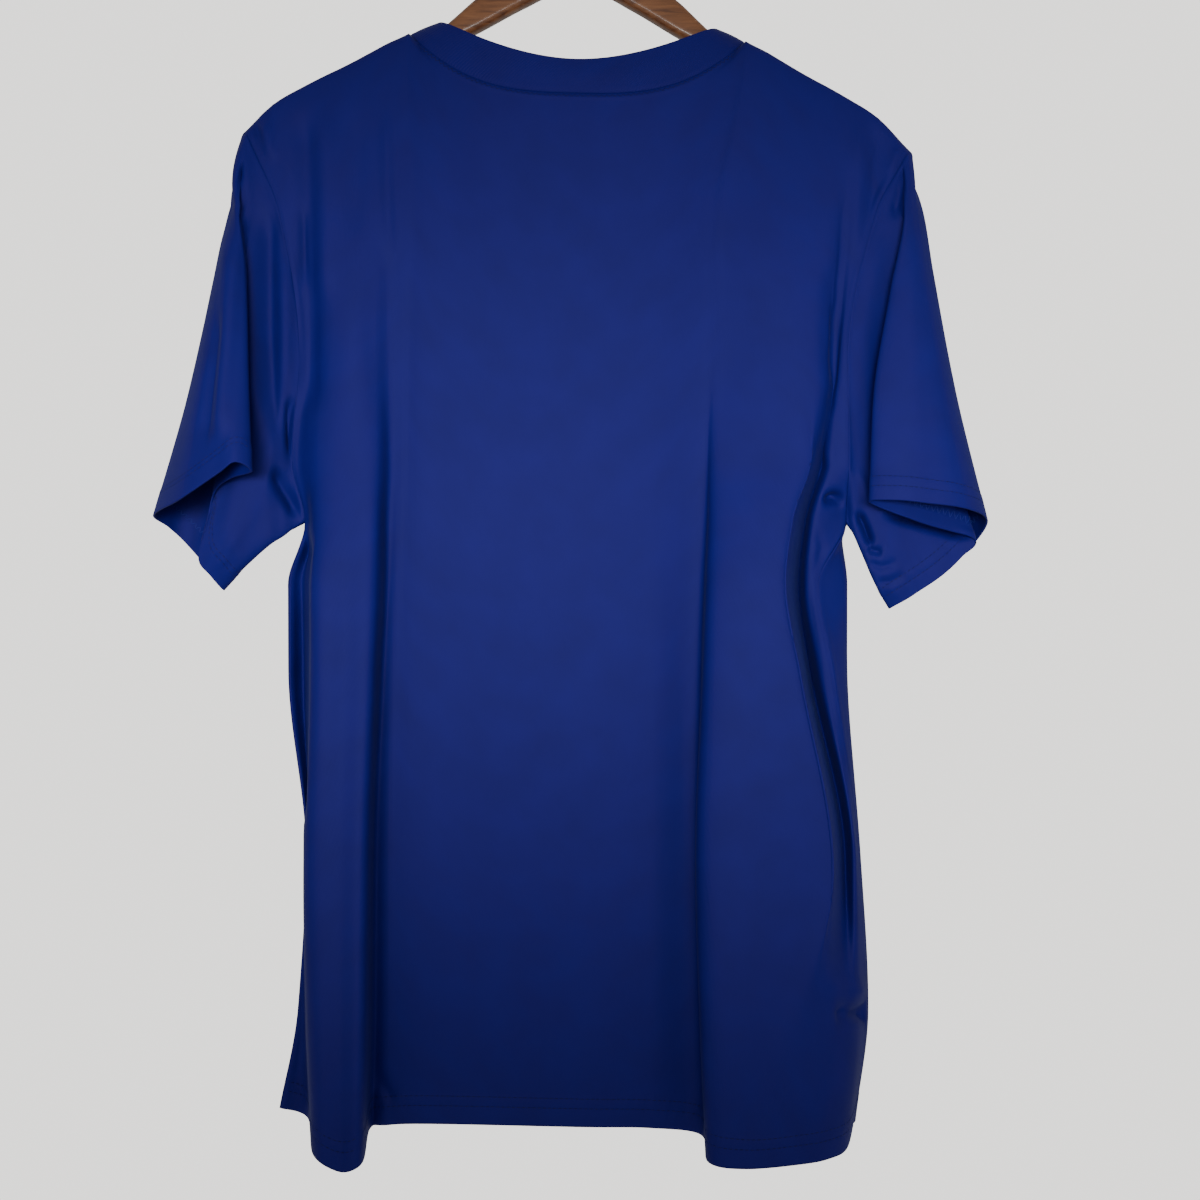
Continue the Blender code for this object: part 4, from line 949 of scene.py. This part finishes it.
def principled(name, colour, roughness, **uniform):
    material = bpy.data.materials.new(name)
    material.use_nodes = True
    shader = material.node_tree.nodes["Principled BSDF"]
    shader.inputs["Base Color"].default_value = (*colour, 1.0)
    shader.inputs["Roughness"].default_value = roughness
    for label, value in uniform.items():
        socket = shader.inputs[label.replace("_", " ")]
        socket.default_value = (*value, 1.0) if isinstance(value, tuple) else value
    return material, material.node_tree, shader


def ramp(tree, value, stops):
    node = tree.nodes.new("ShaderNodeValToRGB")
    node.color_ramp.elements[0].position, node.color_ramp.elements[0].color = stops[0][0], (*stops[0][1], 1)
    node.color_ramp.elements[1].position, node.color_ramp.elements[1].color = stops[-1][0], (*stops[-1][1], 1)
    for place, colour in stops[1:-1]:
        node.color_ramp.elements.new(place).color = (*colour, 1)
    tree.links.new(value, node.inputs[0])
    return node.outputs[0]


def bumped(tree, shader, height, distance, strength):
    bump = tree.nodes.new("ShaderNodeBump")
    bump.inputs["Strength"].default_value = strength
    bump.inputs["Distance"].default_value = distance
    tree.links.new(height, bump.inputs["Height"])
    tree.links.new(bump.outputs[0], shader.inputs["Normal"])


jersey = {
    "dark": (0.0056, 0.0041, 0.127), "light": (0.0064, 0.0048, 0.145), "roughness": 0.62, "specular": 0.14,
    "sheen": 0.04, "sheenRoughness": 0.35, "sheenTint": (0.35, 0.5, 1.0),
    "wale": 0.8, "course": 0.65, "bump": 0.00012,
}
rib = {"wale": 2.0, "course": 0.8, "bump": 0.0004}


def clothMaterial(name, wale, course, depth):
    material, tree, shader = principled(
        name, jersey["light"], jersey["roughness"], Sheen_Weight=jersey["sheen"],
        Sheen_Roughness=jersey["sheenRoughness"], Sheen_Tint=jersey["sheenTint"],
        Specular_IOR_Level=jersey["specular"])
    uv = tree.nodes.new("ShaderNodeUVMap")
    uv.uv_map = "cloth"
    pattern = tree.nodes.new("ShaderNodeGroup")
    pattern.node_tree = knit
    pattern.inputs["Wale"].default_value = wale
    pattern.inputs["Course"].default_value = course
    tree.links.new(uv.outputs[0], pattern.inputs["Vector"])
    colour = ramp(tree, pattern.outputs["Shade"], ((0.3, jersey["dark"]), (0.7, jersey["light"])))
    tree.links.new(colour, shader.inputs["Base Color"])
    rough = mathNode(tree, "MULTIPLY", pattern.outputs["Height"], -0.06)  # raised yarn is a little smoother
    rough = mathNode(tree, "ADD", rough, jersey["roughness"] + 0.04)
    tree.links.new(rough, shader.inputs["Roughness"])
    bumped(tree, shader, pattern.outputs["Height"], depth, 0.5)
    return material


jerseyMaterial = clothMaterial("blue_jersey", jersey["wale"], jersey["course"], jersey["bump"])
ribMaterial = clothMaterial("blue_rib", rib["wale"], rib["course"], rib["bump"])
for name, thing in shown.items():
    thing.data.materials.append(ribMaterial if name == "neckband" else jerseyMaterial)

threadMaterial, threadTree, threadShader = principled(
    "blue_thread", (0.003, 0.005, 0.08), 0.55, Specular_IOR_Level=0.2)
twist = threadTree.nodes.new("ShaderNodeTexWave")
twist.inputs["Scale"].default_value = 900.0
coordinates = threadTree.nodes.new("ShaderNodeTexCoord")
threadTree.links.new(coordinates.outputs["Object"], twist.inputs["Vector"])
bumped(threadTree, threadShader, twist.outputs["Fac"], 0.0001, 0.5)
looseMaterial, _, _ = principled("pale_thread", (0.012, 0.022, 0.2), 0.6, Specular_IOR_Level=0.2)
for name, thing in stitches.items():
    thing.data.materials.append(looseMaterial if name == "inside_stitches" else threadMaterial)

wood = {
    "colour": (0.2, 0.07, 0.02), "roughness": 0.38, "coat": 0.5, "coatRoughness": 0.12,
    "stretch": (9.0, 90.0, 90.0), "grainNoise": (4.0, 6.0, 0.6),  # scale, detail and distortion
    "grain": ((0.3, (0.11, 0.036, 0.012)), (0.5, (0.2, 0.072, 0.022)), (0.72, (0.29, 0.115, 0.04))),
}
woodMaterial, woodTree, woodShader = principled(
    "varnished_wood", wood["colour"], wood["roughness"],
    Coat_Weight=wood["coat"], Coat_Roughness=wood["coatRoughness"])
woodCoordinates = woodTree.nodes.new("ShaderNodeTexCoord")
stretch = woodTree.nodes.new("ShaderNodeMapping")
stretch.inputs["Scale"].default_value = wood["stretch"]
woodTree.links.new(woodCoordinates.outputs["Object"], stretch.inputs["Vector"])
grain = noiseNode(woodTree, stretch.outputs[0], *wood["grainNoise"])
woodTree.links.new(ramp(woodTree, grain, wood["grain"]), woodShader.inputs["Base Color"])
bumped(woodTree, woodShader, grain, 0.0003, 0.35)
board.data.materials.append(woodMaterial)

steelMaterial, steelTree, steelShader = principled("steel", (0.6, 0.6, 0.58), 0.24, Metallic=1.0)
wear = mathNode(steelTree, "MULTIPLY_ADD", noiseNode(steelTree, None, 500.0), 0.16, 0.16)
steelTree.links.new(wear, steelShader.inputs["Roughness"])
wire.data.materials.append(steelMaterial)
print("stage: materials made")


# The cut of each cloth piece
def cutOf(piece):  # its longest row, its longest column and the area of its faces
    points = piece["points"]
    if piece["closed"]:
        points = np.concatenate([points, points[:, :1]], axis=1)
    across, down = runAcross(points)[:, -1], runDown(points)[-1]
    steps, drops = np.diff(points, axis=1)[:-1], np.diff(points, axis=0)[:, :-1]
    area = np.linalg.norm(np.cross(steps, drops), axis=2).sum()
    return across.max() / 1000, down.max() / 1000, area / 1e6


for name, thing in shown.items():
    wide, long, area = cutOf(sewn[name])
    print("cut of", name, round(wide, 3), round(long, 3), round(area, 4))


# Floor, light and camera
floorPlace = {"halfWidth": 1.1, "front": -0.9, "back": 0.5, "height": -1.12}  # in metres, as the lights are
studio = {"backdrop": (0.9, 0.885, 0.86, 1), "asLight": 0.4, "toCameraToo": 1.55}
lights = {  # place, aim, width and height, spread in degrees, watts
    "key": ((-0.13, -1.2, -0.42), (-0.08, 0.0, -0.433), (1.4, 0.30), 44, 2.3),
    "side": ((1.1, -0.5, -0.2), (0.0, 0.0, -0.5), (0.8, 0.8), 180, 1.1),
    "back": ((0.2, 1.3, 0.3), (0.0, 0.0, -0.4), (0.9, 0.9), 180, 8),
}

wide, near, far, low = floorPlace.values()
floor = bpy.data.meshes.new("floor")
corners = [(-wide, near, low), (wide, near, low), (wide, far, low), (-wide, far, low)]
floor.from_pydata(corners, [], [(0, 1, 2, 3)])
ground = addObject("floor", floor)
floorMaterial, _, _ = principled("pale_floor", (0.78, 0.8, 0.83), 0.8)
ground.data.materials.append(floorMaterial)

world = bpy.data.worlds.new("studio")
bpy.context.scene.world = world
world.use_nodes = True
background = world.node_tree.nodes["Background"]
background.inputs[0].default_value = studio["backdrop"]
path = world.node_tree.nodes.new("ShaderNodeLightPath")
shine = mathNode(  # pale to the camera, dimmer as light
    world.node_tree, "MULTIPLY_ADD", path.outputs["Is Camera Ray"], studio["toCameraToo"], studio["asLight"])
world.node_tree.links.new(shine, background.inputs[1])


def areaLight(name, place, aim, size, spread, power):  # turned so that its -z axis points from place to aim
    data = bpy.data.lights.new(name, "AREA")
    data.shape = "RECTANGLE"
    data.size, data.size_y = size
    data.spread = math.radians(spread)
    data.energy = power
    lamp = addObject(name, data)
    lamp.location = place
    way = [b - a for a, b in zip(place, aim)]
    pitch, heading = math.atan2(math.hypot(way[0], way[1]), -way[2]), math.atan2(way[0], -way[1]) + math.pi
    lamp.rotation_euler = (pitch, 0, heading)


for name, values in lights.items():
    areaLight(name, *values)

cameraData = bpy.data.cameras.new("camera")
cameraData.sensor_width = 36.0
cameraData.lens = 36.0 * cameraAway / (photoWide * pixelWide)
camera = addObject("camera", cameraData)
camera.location = (cameraX / 1000, -cameraAway / 1000, cameraZ / 1000)
camera.rotation_euler = (math.radians(90), 0, 0)
bpy.context.scene.camera = camera
print("stage: stage set")
